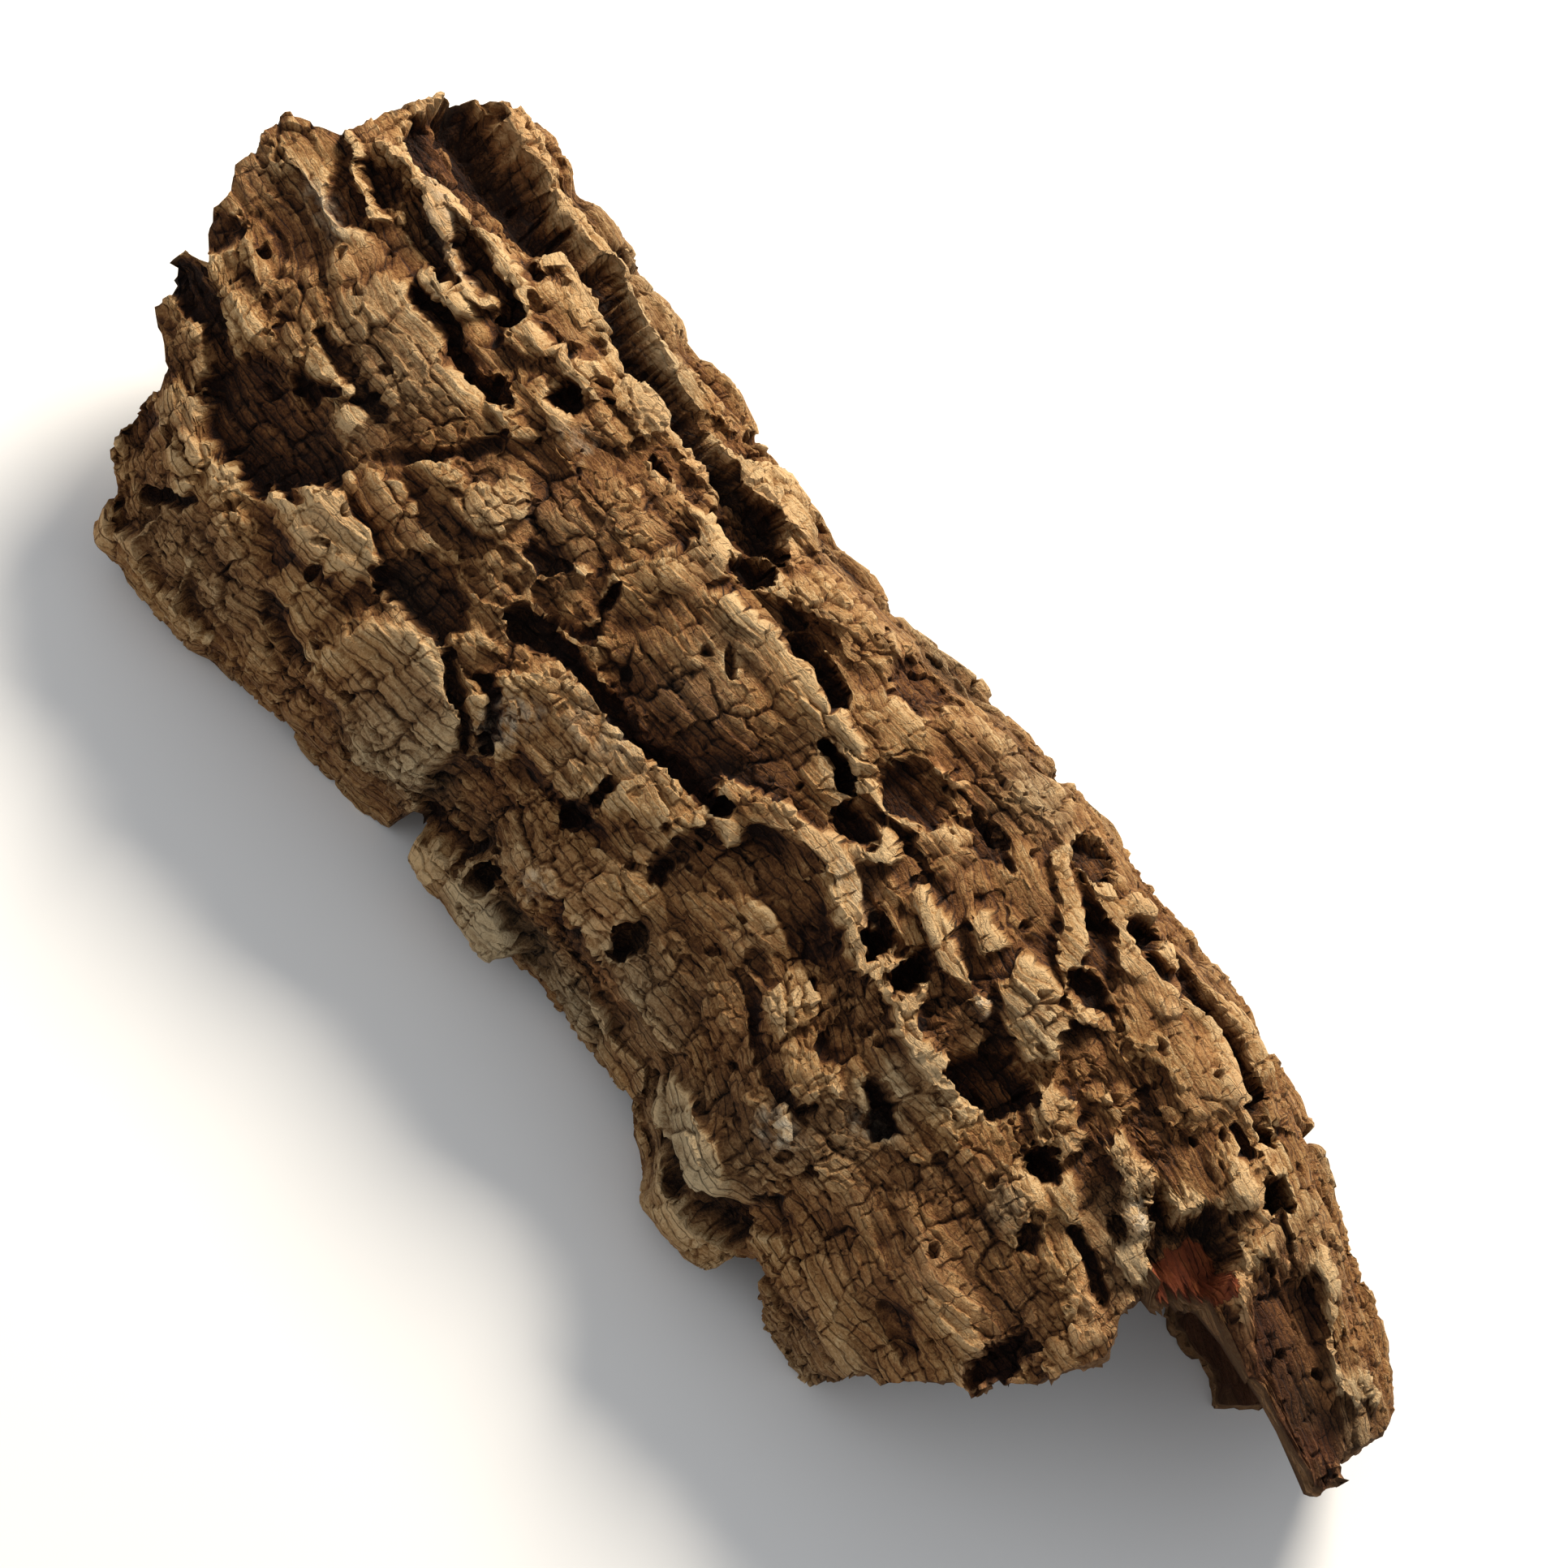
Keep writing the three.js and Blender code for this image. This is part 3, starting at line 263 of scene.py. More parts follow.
# The crests lean over like roof tiles: shift across the sheet per mm of height (t, shift), and along it
LEAN_ACROSS = [
    (-130, 0), (-100, 0.4), (-70, 0.45), (-45, 0.2), (-25, -0.1), (0, -0.5), (25, -0.8), (45, -0.9),
    (62, -0.5), (85, 0),
]
LEAN_ALONG = 0.2

# The long tongue of bark at the far end is thinner
THIN_START = 165
THIN_END = 195
THIN_SHARE = 0.55

# Large unevenness, as on the solid: patches, a wavy surface, and the bends and domes of what is painted
PATCH_LENGTH = 22
PATCH_WIDTH = 12
PATCH_HEIGHT = 4
PATCH_TILT = 6
ROUGHNESS = 1.6
WAVER = 2.2
WAVER_LENGTH = 11
WAVER_WIDTH = 9
PLATE_DOME = 3
THINNEST = 4.5

# Width of the painted edges as a share of the solid's, and of a hollow's edge against a plate's
EDGE_SHARE = 0.8
HOLE_EDGE_SHARE = 1.3

# The far wall is calmer, from this arc on
CALM_START = 100
CALM_WIDTH = 16

# The low places are partly filled, so that plates lie against each other (painted height, height)
FILLING = [
    (-20, -15), (-14, -10), (-10, -6.8), (-6, -2.6), (-2, 0.6), (2, 3), (6, 6), (10, 9.4), (16, 14),
]

# Zones of the sheet's rows and columns that stretch to the broken ends and the long edges
INNER_LEFT = -94
INNER_RIGHT = 100
LEFT_SHARE = 6 / 48
RIGHT_SHARE = 8 / 48
START_ZONE = -128
FINISH_ZONE = 96
EVEN_START = -200
EVEN_FINISH = 220

# Raggedness of the outline: reach of the nicks, their length, and the longer fibres of the tongue's end
NICK = 1.2
EDGE_NICK = 1.0
NICK_LENGTH = 5
FIBRE = 6
FIBRE_WIDTH = 1.3


# Numbers that repeat exactly: a hash of whole numbers, and smooth fields made from it
def chance(i, j, seed):
    u = np.uint32
    with np.errstate(over="ignore"):
        n = i.astype(np.int64).astype(u) * u(374761393)
        n ^= j.astype(np.int64).astype(u) * u(668265263)
        n ^= u(seed) * u(1442695041)
        n = (n ^ (n >> u(13))) * u(1274126177)
        n = (n ^ (n >> u(15))) * u(739188397)
        return (n ^ (n >> u(16))) / 4294967296.0


def ease(value):
    u = np.clip(value, 0, 1)
    return u * u * (3 - 2 * u)


def field(x, t, seed):
    i = np.floor(x)
    j = np.floor(t)
    u = ease(x - i)
    v = ease(t - j)
    low = chance(i, j, seed) * (1 - u) + chance(i + 1, j, seed) * u
    high = chance(i, j + 1, seed) * (1 - u) + chance(i + 1, j + 1, seed) * u
    return 2 * (low * (1 - v) + high * v) - 1


def cloud(x, t, seed, octaves=4, gain=0.55):
    total = np.zeros(x.shape)
    size = 1.0
    whole = 0.0
    for k in range(octaves):
        total += size * field(x * 2 ** k, t * 2 ** k, seed + 17 * k)
        whole += size
        size *= gain
    return total / whole


def cells(x, t, seed, scatter=0.8):
    """Scattered cells: distances to the two nearest centres, offset from the nearest, its numbers."""
    i0 = np.floor(x)
    j0 = np.floor(t)
    first = np.full(x.shape, 9.0)
    second = np.full(x.shape, 9.0)
    u, v, ci, cj = (np.zeros(x.shape) for _ in range(4))
    for a in (-1, 0, 1):
        for b in (-1, 0, 1):
            i = i0 + a
            j = j0 + b
            du = x - i - 0.5 - scatter * (chance(i, j, seed) - 0.5)
            dv = t - j - 0.5 - scatter * (chance(i, j, seed + 1) - 0.5)
            distance = np.hypot(du, dv)
            near = distance < first
            second = np.where(near, first, np.minimum(second, distance))
            first = np.where(near, distance, first)
            u = np.where(near, du, u)
            v = np.where(near, dv, v)
            ci = np.where(near, i, ci)
            cj = np.where(near, j, cj)
    return first, second, u, v, ci, cj


def look_up(table, value):
    pairs = np.asarray(table, float)
    return np.interp(value, pairs[:, 0], pairs[:, 1])


def smooth_curve(points, steps):
    p = np.asarray(points, float)
    p = np.vstack([p[0], p, p[-1]])
    out = []
    for i in range(1, len(p) - 2):
        a, b, c, d = p[i - 1:i + 3]
        start = (c - a) / 2
        end = (d - b) / 2
        for k in range(steps):
            u = k / steps
            out.append((2 * b - 2 * c + start + end) * u ** 3
                       + (-3 * b + 3 * c - 2 * start - end) * u ** 2 + start * u + b)
    out.append(p[-2])
    return np.array(out)


section_curve = smooth_curve(SECTION, 40)
section_arc = np.concatenate([[0], np.cumsum(np.hypot(*np.diff(section_curve, axis=0).T))])
section_run = np.gradient(section_curve, axis=0)
section_run /= np.hypot(*section_run.T)[:, None]
left_curve = smooth_curve(LEFT_OUT, 24)
right_curve = smooth_curve(RIGHT_OUT, 24)
rise_curve = smooth_curve(RISE, 24)


def place(x, t, h):
    """Point of the sheet in the frame, in millimetres."""
    a = t + CROWN_ARC
    ny = -np.interp(a, section_arc, section_run[:, 1])
    nz = np.interp(a, section_arc, section_run[:, 0])
    left = look_up(left_curve, x)
    right = look_up(right_curve, x)
    widen = 1 + (left + right) / (SECTION_RIGHT - SECTION_LEFT)
    y0 = -left - SECTION_LEFT * (widen - 1)
    y = np.interp(a, section_arc, section_curve[:, 0]) * widen + y0 + ny * h
    z = np.interp(a, section_arc, section_curve[:, 1]) * look_up(rise_curve, x) + nz * h
    return np.stack([x + SHIFT_X, y + SHIFT_Y, z], axis=-1)


def rows_and_columns(rows, columns):
    """x and t of the sheet's grid, stretched to the broken outline."""
    r = np.linspace(0, 1, rows + 1)[:, None]
    c = np.linspace(0, 1, columns + 1)[None, :]
    even_x = EVEN_START + (EVEN_FINISH - EVEN_START) * r + 0 * c

    def column(x):
        left = look_up(LEFT_EDGE, x)
        right = look_up(RIGHT_EDGE, x)
        left = left + EDGE_NICK * cloud(x / NICK_LENGTH, 0 * x, 401, 3)
        right = right + EDGE_NICK * cloud(x / NICK_LENGTH, 0 * x, 402, 3)
        middle = INNER_LEFT + (INNER_RIGHT - INNER_LEFT) * (c - LEFT_SHARE) / (1 - LEFT_SHARE - RIGHT_SHARE)
        near = left + (INNER_LEFT - left) * c / LEFT_SHARE
        far = INNER_RIGHT + (right - INNER_RIGHT) * (c - 1 + RIGHT_SHARE) / RIGHT_SHARE
        return np.where(c < LEFT_SHARE, near, np.where(c > 1 - RIGHT_SHARE, far, middle))

    t = column(even_x)
    tongue_side = ease((t + 22) / 8) * ease((12 - t) / 8)
    fibres = FIBRE * tongue_side * cloud(t / FIBRE_WIDTH, 0 * t, 423, 2)
    start = look_up(START_END, t) + NICK * cloud(t / NICK_LENGTH, 0 * t, 413, 3)
    finish = look_up(FINISH_END, t) + (NICK * cloud(t / NICK_LENGTH, 0 * t, 403, 3) + fibres)
    to_start = START_ZONE + (start - START_ZONE) * (START_ZONE - even_x) / (START_ZONE - EVEN_START)
    to_finish = FINISH_ZONE + (finish - FINISH_ZONE) * (even_x - FINISH_ZONE) / (EVEN_FINISH - FINISH_ZONE)
    x = np.where(even_x < START_ZONE, to_start, np.where(even_x > FINISH_ZONE, to_finish, even_x))
    return x, column(x)


def window(x, t, cx, ct, reach_x, reach_t):
    """The part of the grid that a block can touch."""
    i = np.nonzero((np.abs(x - cx) < reach_x).any(axis=1))[0]
    j = np.nonzero((np.abs(t - ct) < reach_t).any(axis=0))[0]
    if len(i) == 0 or len(j) == 0:
        return None
    return slice(i[0], i[-1] + 1), slice(j[0], j[-1] + 1)


def paint_block(height, x, t, block, sharp, dome, share_of=1.0, ragged=None):
    cx, ct, half_length, half_width, turn, level, slope, edge = block
    soft = edge * sharp
    reach = max(half_length, half_width) + soft + 1
    part = window(x, t, cx, ct, reach, reach)
    if part is None:
        return
    c = math.cos(math.radians(turn))
    s = math.sin(math.radians(turn))
    dx = x[part] - cx
    dt = t[part] - ct
    u = dx * c + dt * s
    v = -dx * s + dt * c
    r = np.cbrt(np.abs(u / half_length) ** 3 + np.abs(v / half_width) ** 3)
    inside = (1 - r) * min(half_length, half_width)
    if ragged is not None:
        inside = inside + ragged[part]
    share = ease(inside / soft + 0.5) * share_of
    height[part] = height[part] * (1 - share) + (level + slope * v + dome * (0.4 - r * r)) * share


def paint_line(height, x, t, line, sharp):
    half, level, edge, *points = line
    soft = edge * sharp
    xs = [p[0] for p in points]
    ts = [p[1] for p in points]
    reach_x = (max(xs) - min(xs)) / 2 + half + soft + 1
    reach_t = (max(ts) - min(ts)) / 2 + half + soft + 1
    part = window(x, t, (max(xs) + min(xs)) / 2, (max(ts) + min(ts)) / 2, reach_x, reach_t)
    if part is None:
        return
    px = x[part]
    pt = t[part]
    distance = np.full(px.shape, 1e9)
    for (x0, t0), (x1, t1) in zip(points[:-1], points[1:]):
        dx = x1 - x0
        dt = t1 - t0
        k = np.clip(((px - x0) * dx + (pt - t0) * dt) / (dx * dx + dt * dt), 0, 1)
        distance = np.minimum(distance, np.hypot(px - x0 - k * dx, pt - t0 - k * dt))
    share = ease((half - distance) / soft + 0.5)
    height[part] = height[part] * (1 - share) + level * share


def depth_at(x, t):
    tongue = ease((x - THIN_START) / (THIN_END - THIN_START))
    return look_up(SHEET_DEPTH, t) * (1 - (1 - THIN_SHARE) * tongue)


def calmness(t):
    return ease((t - CALM_START) / CALM_WIDTH)


def patches(x, t):
    _, _, _, dv, i, j = cells(x / PATCH_LENGTH, t / PATCH_WIDTH, 11)
    return (chance(i, j, 13) - 0.5) * PATCH_HEIGHT + (chance(i, j, 14) - 0.4) * dv * PATCH_TILT


# Height of the rough face: the same large form as the solid, with its edges broken up by a ragged shift
def large_form(x, t, shift_x, shift_t, sharp):
    wx = x + WAVER * field(x / WAVER_LENGTH, t / WAVER_WIDTH, 1) + shift_x
    wt = t + WAVER * field(x / WAVER_LENGTH, t / WAVER_WIDTH, 3) + shift_t
    height = patches(wx, wt)
    for block in FORMS:
        paint_block(height, wx, wt, block, 1, 0, 0.7)
    for block in PLATES:
        paint_block(height, wx, wt, block, sharp, PLATE_DOME)
    for line in RIDGES + FURROWS:
        paint_line(height, wx, wt, line, sharp)
    torn = 1.6 * cloud(x / 5, t / 4.2, 911, 3) + 0.9 * cloud(x / 1.9, t / 1.7, 921, 2)
    for block in HOLLOWS:
        paint_block(height, wx, wt, block, HOLE_EDGE_SHARE * sharp, 0, 1.0, torn)
    height = look_up(FILLING, height) + ROUGHNESS * field(x / 13, t / 9, 5)
    calm = calmness(t)
    height = height * (1 - calm) + (0.6 + 0.35 * height) * calm
    return np.maximum(height, THINNEST - depth_at(x, t))


def inner_height(x, t):
    return -depth_at(x, t) + 1.2 * field(x / 30, t / 18, 7) + 0.5 * field(x / 11, t / 9, 8)


# Fine relief of the bark in mm: growth lines along it, blocks broken along them, ledges and cracks that
# follow each other after so many layers, crumbs and pits
LAYER_STEP = 2.6
BLOCK_LENGTH = 15
BLOCK_WIDTH = 9
BLOCK_STEP = 1.5
BLOCK_CRACK = 1.3
LEDGE_LAYERS = 2.3
LEDGE_HEIGHT = 0.9
LEDGE_RISE = 0.8
LEDGE_FALL = 0.2
CROSS_LAYERS = 2.7
CROSS_STEP = 7.5
CROSS_CRACK = 0.9
CRUMB_LENGTH = 5.0
CRUMB_WIDTH = 3.6
CRUMB_STEP = 1.5
CRUMB_GAP = 0.9
PIT_LENGTH = 12
PIT_WIDTH = 10
PIT_DEPTH = 2.4

# A slit in the plate at the crown, with the columns of the hollows
SLIT = (-27, -3.5, 3.4, 0.9, -41, -5, 0, 1.2)


def ragged_shift(x, t, seed):
    return 1.5 * cloud(x / 7, t / 6, seed, 3) + 0.6 * cloud(x / 2.2, t / 2.2, seed + 30, 2)


def fine_relief(x, t):
    """Large form, height with the fine relief, cracks, crumbly share, and the growth layers' own x and t."""
    ragged_x = ragged_shift(x, t, 101)
    ragged_t = ragged_shift(x, t, 151)
    base = large_form(x, t, ragged_x, ragged_t, EDGE_SHARE)
    height = base.copy()
    paint_block(height, x, t, SLIT, 1, 0)
    rough = ease(0.3 + 1.9 * cloud(x / 26, t / 18, 251, 2))
    # Growth lines run along the bark and bend round the raised forms
    lines = t + 5 * cloud(x / 60, t / 45, 191, 2) + 0.9 * cloud(x / 16, t / 10, 211, 2)
    lines += 0.55 * np.clip(base, -8, 10)
    # Blocks, each a little higher or lower, tilted and rounded
    px = x + 1.2 * ragged_x
    pt = lines + 0.8 * ragged_t
    first, second, u, v, ci, cj = cells(px / BLOCK_LENGTH, pt / BLOCK_WIDTH, 201, 0.6)
    u = u * BLOCK_LENGTH
    v = v * BLOCK_WIDTH
    crack = ease(1 - (second - first) / 0.11) * ease(0.4 + 2.4 * cloud(x / 10, t / 8, 207, 2))
    height += (chance(ci, cj, 203) - 0.5) * BLOCK_STEP + (chance(ci, cj, 204) - 0.4) * 0.2 * v
    height += (chance(ci, cj, 205) - 0.5) * 0.08 * u - 0.014 * (v * v + 0.3 * u * u)
    phase = lines / LAYER_STEP + 0.7 * chance(ci, cj, 212) + (chance(ci, cj, 206) - 0.5) * 0.09 * u
    height -= BLOCK_CRACK * crack
    # Ledges: every few growth lines the surface drops
    ledge = phase / LEDGE_LAYERS + 0.5 * cloud(x / 20, t / 8, 221, 2)
    share = ledge - np.floor(ledge)
    drop = np.where(share < LEDGE_RISE, share / LEDGE_RISE, (1 - share) / LEDGE_FALL)
    height += LEDGE_HEIGHT * (0.3 + chance(ci, cj, 213)) * (1 - 0.6 * rough) * (drop - 0.5)
    # Cracks across the lines, shifted from one run of lines to the next
    run = np.floor(phase / CROSS_LAYERS)
    along = x / CROSS_STEP + chance(run, ci + 3 * cj, 215) * 4 + 0.22 * cloud(x / 2, t / 3, 216, 2)
    off = np.abs(along - np.round(along))
    cross = ease(1 - off * CROSS_STEP / 0.6) * (chance(run, np.floor(along + 0.5), 217) > 0.5)
    height -= CROSS_CRACK * cross
    # Crumbs on the rough patches
    bx = x + 1.5 * ragged_x
    bt = t + 1.5 * ragged_t
    first, second, _, _, gi, gj = cells((bx + 40) / CRUMB_LENGTH, (bt - 30) / CRUMB_WIDTH, 231)
    gap = ease(1 - (second - first) / 0.2)
    height += rough * ((chance(gi, gj, 233) - 0.5) * CRUMB_STEP * (1 - gap) - CRUMB_GAP * gap)
    # Pits
    first, _, _, _, qi, qj = cells(bx / PIT_LENGTH, bt / PIT_WIDTH, 261)
    pit_radius = 0.4 + 1.1 * chance(qi, qj, 263)
    pit = ease(1 - (first * 11 - pit_radius) / 0.7) * (chance(qi, qj, 264) > 0.7)
    height -= PIT_DEPTH * pit
    height += (0.2 + 0.3 * rough) * cloud(x / 9, t / 3.4, 271, 4) + 0.16 * cloud(x / 1.8, t / 1.1, 301, 2)
    layers = np.stack([x, phase * LAYER_STEP], axis=-1)
    return base, height, np.maximum(crack, 0.8 * cross), rough, layers


def blur(grid, half):
    """Mean over a square window of the grid, taken twice."""
    out = grid
    for _ in range(2):
        for axis in (0, 1):
            padded = np.pad(out, [(half + 1, half) if a == axis else (0, 0) for a in (0, 1)], mode="edge")
            total = np.cumsum(padded, axis=axis)
            n = out.shape[axis]
            width = 2 * half + 1
            upper = np.take(total, np.arange(width, width + n), axis=axis)
            lower = np.take(total, np.arange(n), axis=axis)
            out = (upper - lower) / width
    return out


def normals_of(grid):
    across = np.gradient(grid, axis=1)
    along = np.gradient(grid, axis=0)
    n = np.cross(along, across)
    return n / np.maximum(np.linalg.norm(n, axis=-1, keepdims=True), 1e-9)


def lean(x, t, height):
    crest = np.maximum(0, height)
    return place(x + LEAN_ALONG * crest, t + look_up(LEAN_ACROSS, t) * crest, height)


# The red patch where the outer cork broke off is smooth: its centre x and t, half length and half width
RED_X = 166
RED_T = 0
RED_HALF_LENGTH = 9
RED_HALF_WIDTH = 12
RED_SMOOTHNESS = 0.75

# Limits of the fine relief, its last unevenness, and the gap kept between the two faces
DEEPEST_RELIEF = -3.5
HIGHEST_RELIEF = 3.0
WOBBLE = 0.15
WOBBLE_LENGTH = 3.1
INNER_GAP = 3.5

# The rough outer face
x_out, t_out = rows_and_columns(ROWS, COLUMNS)
base, height, crack, rough, layers = fine_relief(x_out, t_out)
sx = x_out + 2 * cloud(x_out / 4, t_out / 4, 801, 2)
st = t_out + 2 * cloud(x_out / 4, t_out / 4, 802, 2)
red_reach = ((sx - RED_X) / RED_HALF_LENGTH) ** 4 + ((st - RED_T) / RED_HALF_WIDTH) ** 4
red = np.clip(0.5 + 1.5 * (1 - np.sqrt(np.sqrt(red_reach))), 0, 1)
fine = np.clip(height - base, DEEPEST_RELIEF, HIGHEST_RELIEF)
fine = fine * (1 - 0.5 * calmness(t_out)) * (1 - RED_SMOOTHNESS * ease(2 * red - 0.7))
outer = lean(x_out, t_out, base)
outer = outer + normals_of(outer) * fine[..., None]
wobble = []
for k in range(3):
    wobble_u = outer[..., k] / WOBBLE_LENGTH + 50 * k
    wobble_v = outer[..., (k + 1) % 3] / WOBBLE_LENGTH + t_out / 9
    wobble.append(cloud(wobble_u, wobble_v, 501 + k, 2))
outer = outer + WOBBLE * np.stack(wobble, axis=-1)

# The inner face, with half as many rows and columns
x_in = x_out[::2, ::2]
t_in = t_out[::2, ::2]
in_height = np.minimum(inner_height(x_in, t_in), base[::2, ::2] - INNER_GAP)
in_height += 0.35 * cloud(x_in / 7, t_in / 3, 601, 3)
inner = place(x_in, t_in, in_height)


def edge_walk(rows, columns):
    """Grid numbers round the sheet's outline, in order."""
    down = np.arange(rows)
    right = np.arange(columns)
    i = np.concatenate([down, np.full(columns, rows), rows - down, np.zeros(columns, int)])
    j = np.concatenate([np.zeros(rows, int), right, np.full(rows, columns), columns - right])
    return i, j


def grid_faces(rows, columns, first, flip):
    number = first + np.arange((rows + 1) * (columns + 1)).reshape(rows + 1, columns + 1)
    a = number[:-1, :-1].ravel()
    b = number[1:, :-1].ravel()
    c = number[1:, 1:].ravel()
    d = number[:-1, 1:].ravel()
    order = (a, d, c, b) if flip else (a, b, c, d)
    return np.stack(order, axis=-1), number


# The broken rim between them, in rings, with the layers standing out unevenly
RIM_LAYER = 2.2
RIM_STAND = 1.6

half_rows = ROWS // 2
half_columns = COLUMNS // 2
oi, oj = edge_walk(ROWS, COLUMNS)
edge_out = outer[oi, oj]
edge_in_half = inner[tuple(edge_walk(half_rows, half_columns))]
following = np.roll(edge_in_half, -1, axis=0)
edge_in = np.empty_like(edge_out)
edge_in[0::2] = edge_in_half
edge_in[1::2] = (edge_in_half + following) / 2
inside = outer[np.clip(oi, 3, ROWS - 3), np.clip(oj, 3, COLUMNS - 3)]
outward = edge_out - inside
outward /= np.maximum(np.linalg.norm(outward, axis=-1, keepdims=True), 1e-6)
walk = np.concatenate([[0], np.cumsum(np.linalg.norm(np.diff(edge_out, axis=0), axis=1))])
thick = np.linalg.norm(edge_out - edge_in, axis=1)
rings = []
for k in range(1, RIM_RINGS):
    f = k / RIM_RINGS
    below = thick * f
    stand = 2.2 * cloud(walk / 8, below / 4 + 7, 701, 2) + 1.2 * cloud(walk / 3, below / 1.6, 702, 3)
    steps = np.floor(below / RIM_LAYER + 0.8 * cloud(walk / 5, 0 * walk, 703, 2))
    chips = np.floor(walk / 6 + chance(steps, 0 * steps, 705) * 3)
    stand += RIM_STAND * (chance(chips, steps, 704) - 0.5)
    fade = min(1, 5 * f, 5 * (1 - f))
    rings.append(edge_out * (1 - f) + edge_in * f + outward * (stand * fade)[:, None])
rim = np.array(rings)

faces_out, numbers_out = grid_faces(ROWS, COLUMNS, 0, False)
first_in = outer[..., 0].size
faces_in, numbers_in = grid_faces(half_rows, half_columns, first_in, True)
first_rim = first_in + inner[..., 0].size
count = len(edge_out)
ring_numbers = [numbers_out[oi, oj]]
ring_numbers += [first_rim + k * count + np.arange(count) for k in range(RIM_RINGS - 1)]
rim_faces = []
for upper, lower in zip(ring_numbers[:-1], ring_numbers[1:]):
    rim_faces.append(np.stack([np.roll(upper, -1), upper, lower, np.roll(lower, -1)], axis=-1))
last = ring_numbers[-1]
low = numbers_in[tuple(edge_walk(half_rows, half_columns))]
high = np.roll(low, -1)
a = last[0::2]
b = last[1::2]
c = np.roll(last, -2)[0::2]
seam = np.concatenate([np.stack([b, a, low], -1), np.stack([low, high, b], -1), np.stack([c, b, high], -1)])

points = np.concatenate([outer.reshape(-1, 3), inner.reshape(-1, 3), rim.reshape(-1, 3)])
points[:, 2] = np.maximum(points[:, 2], FLOOR)

# What the colours follow: how deep a spot lies against its surroundings, within these distances in mm. From
# this comes painted shade and light: darker in hollows, lighter on crests
NEAR = 1.6
MIDDLE = 5
FAR = 13
near_depth = height - blur(height, int(NEAR / PITCH))
mid_depth = height - blur(height, int(MIDDLE / PITCH))
far_depth = base - blur(base, int(FAR / PITCH))
# Painted shade: slopes that face away from the key light on the +t side are darker
painted_lee_shade = np.clip(np.gradient(blur(height, 3), axis=1) / PITCH, -1, 1)
shade = 0.53 + 0.13 * near_depth + 0.07 * mid_depth + 0.045 * far_depth - 0.1 * painted_lee_shade


def spots(x, t, table):
    """Soft-edged patches from (x, t, half length, half width, strength)."""
    out = np.zeros(x.shape)
    for cx, ct, half_length, half_width, strength in table:
        r = np.hypot((x - cx) / half_length, (t - ct) / half_width)
        out = np.maximum(out, strength * ease(1.6 - 1.2 * r))
    return out


# Freshly broken orange spots, weathered grey ones, pale chalky ones, rusty ones, and spots of painted shadow
FRESH = [
    (-187, 54, 12, 8, 0.8), (-45, 38, 5, 4, 1), (-77, 33, 4, 4, 0.9), (26, 25, 7, 3, 1),
    (8, -74, 7, 5, 1), (20, -89, 9, 5, 1), (120, 38, 6, 5, 0.6), (170, 11, 10, 5, 0.9),
    (162, 5, 3, 8, 0.9), (186, 26, 6, 5, 0.9), (206, 28, 13, 3, 0.9), (213, 12, 12, 2.5, 0.9),
    (155, -28, 7, 5, 0.8), (191, 4, 10, 3, 1), (164, -40, 6, 10, 0.7),
]
GREY = [
    (91, 2, 10, 6, 0.5), (66, -88, 17, 8, 0.8), (0, -102, 30, 10, 0.8), (125, -35, 6, 6, 0.6),
    (-130, -90, 26, 14, 0.3),
]
PALE = [
    (-47, -60, 6, 9, 0.9), (-97, 8, 5, 4, 0.8), (81, -7, 4, 3, 1), (-185, -13, 10, 4, 0.8),
    (146, -7, 5, 3, 1), (90, -47, 6, 4, 0.8), (77, -64, 6, 5, 0.8), (-12, -83, 6, 5, 0.6),
    (-170, 18, 12, 3, 0.5), (-160, 12, 14, 3, 0.5), (40, -20, 14, 4, 0.3), (-30, -45, 14, 6, 0.3),
]
RUSTY = [
    (198, 12, 24, 15, 1), (216, 14, 16, 18, 1), (188, 26, 16, 12, 0.6), (155, -58, 7, 12, 1),
    (120, -60, 12, 7, 0.4), (-186, 30, 18, 9, 0.5),
]
# Painted shadow in the valleys under the rims, in creases and on slopes turned from the light
PAINTED_SHADOWS = [
    (-186, 43, 20, 9, 1), (-188, 28, 16, 9, 0.6), (-168, 49, 14, 6, 1), (-150, 53, 12, 7, 0.8),
    (-130, 54, 16, 9, 1), (-106, 50, 16, 8, 1), (-80, 42, 16, 5, 0.9), (-146, -50, 19, 11, 0.8),
    (-186, -54, 12, 7, 0.7), (-10, -25, 28, 12, 0.8), (-86, -50, 10, 7, 0.8), (-62, -37, 12, 5, 0.8),
    (-30, -37, 24, 5, 0.8), (-75, -23, 8, 5, 0.7), (-140, -1, 18, 4, 0.7), (-55, -22, 5, 10, 0.6),
    (196, 18, 18, 8, 0.6), (214, 22, 12, 9, 0.5),
]
fresh = spots(sx, st, FRESH)
rusty = spots(sx, st, RUSTY)
grey = spots(sx, st, GREY)
pale = spots(sx, st, PALE)
painted_shadow = spots(sx, st, PAINTED_SHADOWS)


def all_points(on_outer, on_inner, on_rim):
    """One value for each point, from those for the outer face, the inner face and the rim."""
    parts = []
    for value, like in ((on_outer, outer), (on_inner, inner), (on_rim, rim)):
        parts.append(np.broadcast_to(value, like.shape[:2]).reshape(-1))
    return np.concatenate(parts)


bark = bpy.data.meshes.new("rough_bark")
squares = np.concatenate([faces_out, faces_in] + rim_faces)
loops = np.concatenate([squares.ravel(), seam.ravel()])
starts = np.concatenate([np.arange(len(squares)) * 4, len(squares) * 4 + np.arange(len(seam)) * 3])
bark.vertices.add(len(points))
bark.vertices.foreach_set("co", (points * MM).astype(np.float32).ravel())
bark.loops.add(len(loops))
bark.loops.foreach_set("vertex_index", loops.astype(np.int32))
bark.polygons.add(len(starts))
bark.polygons.foreach_set("loop_start", starts.astype(np.int32))
bark.update(calc_edges=True)


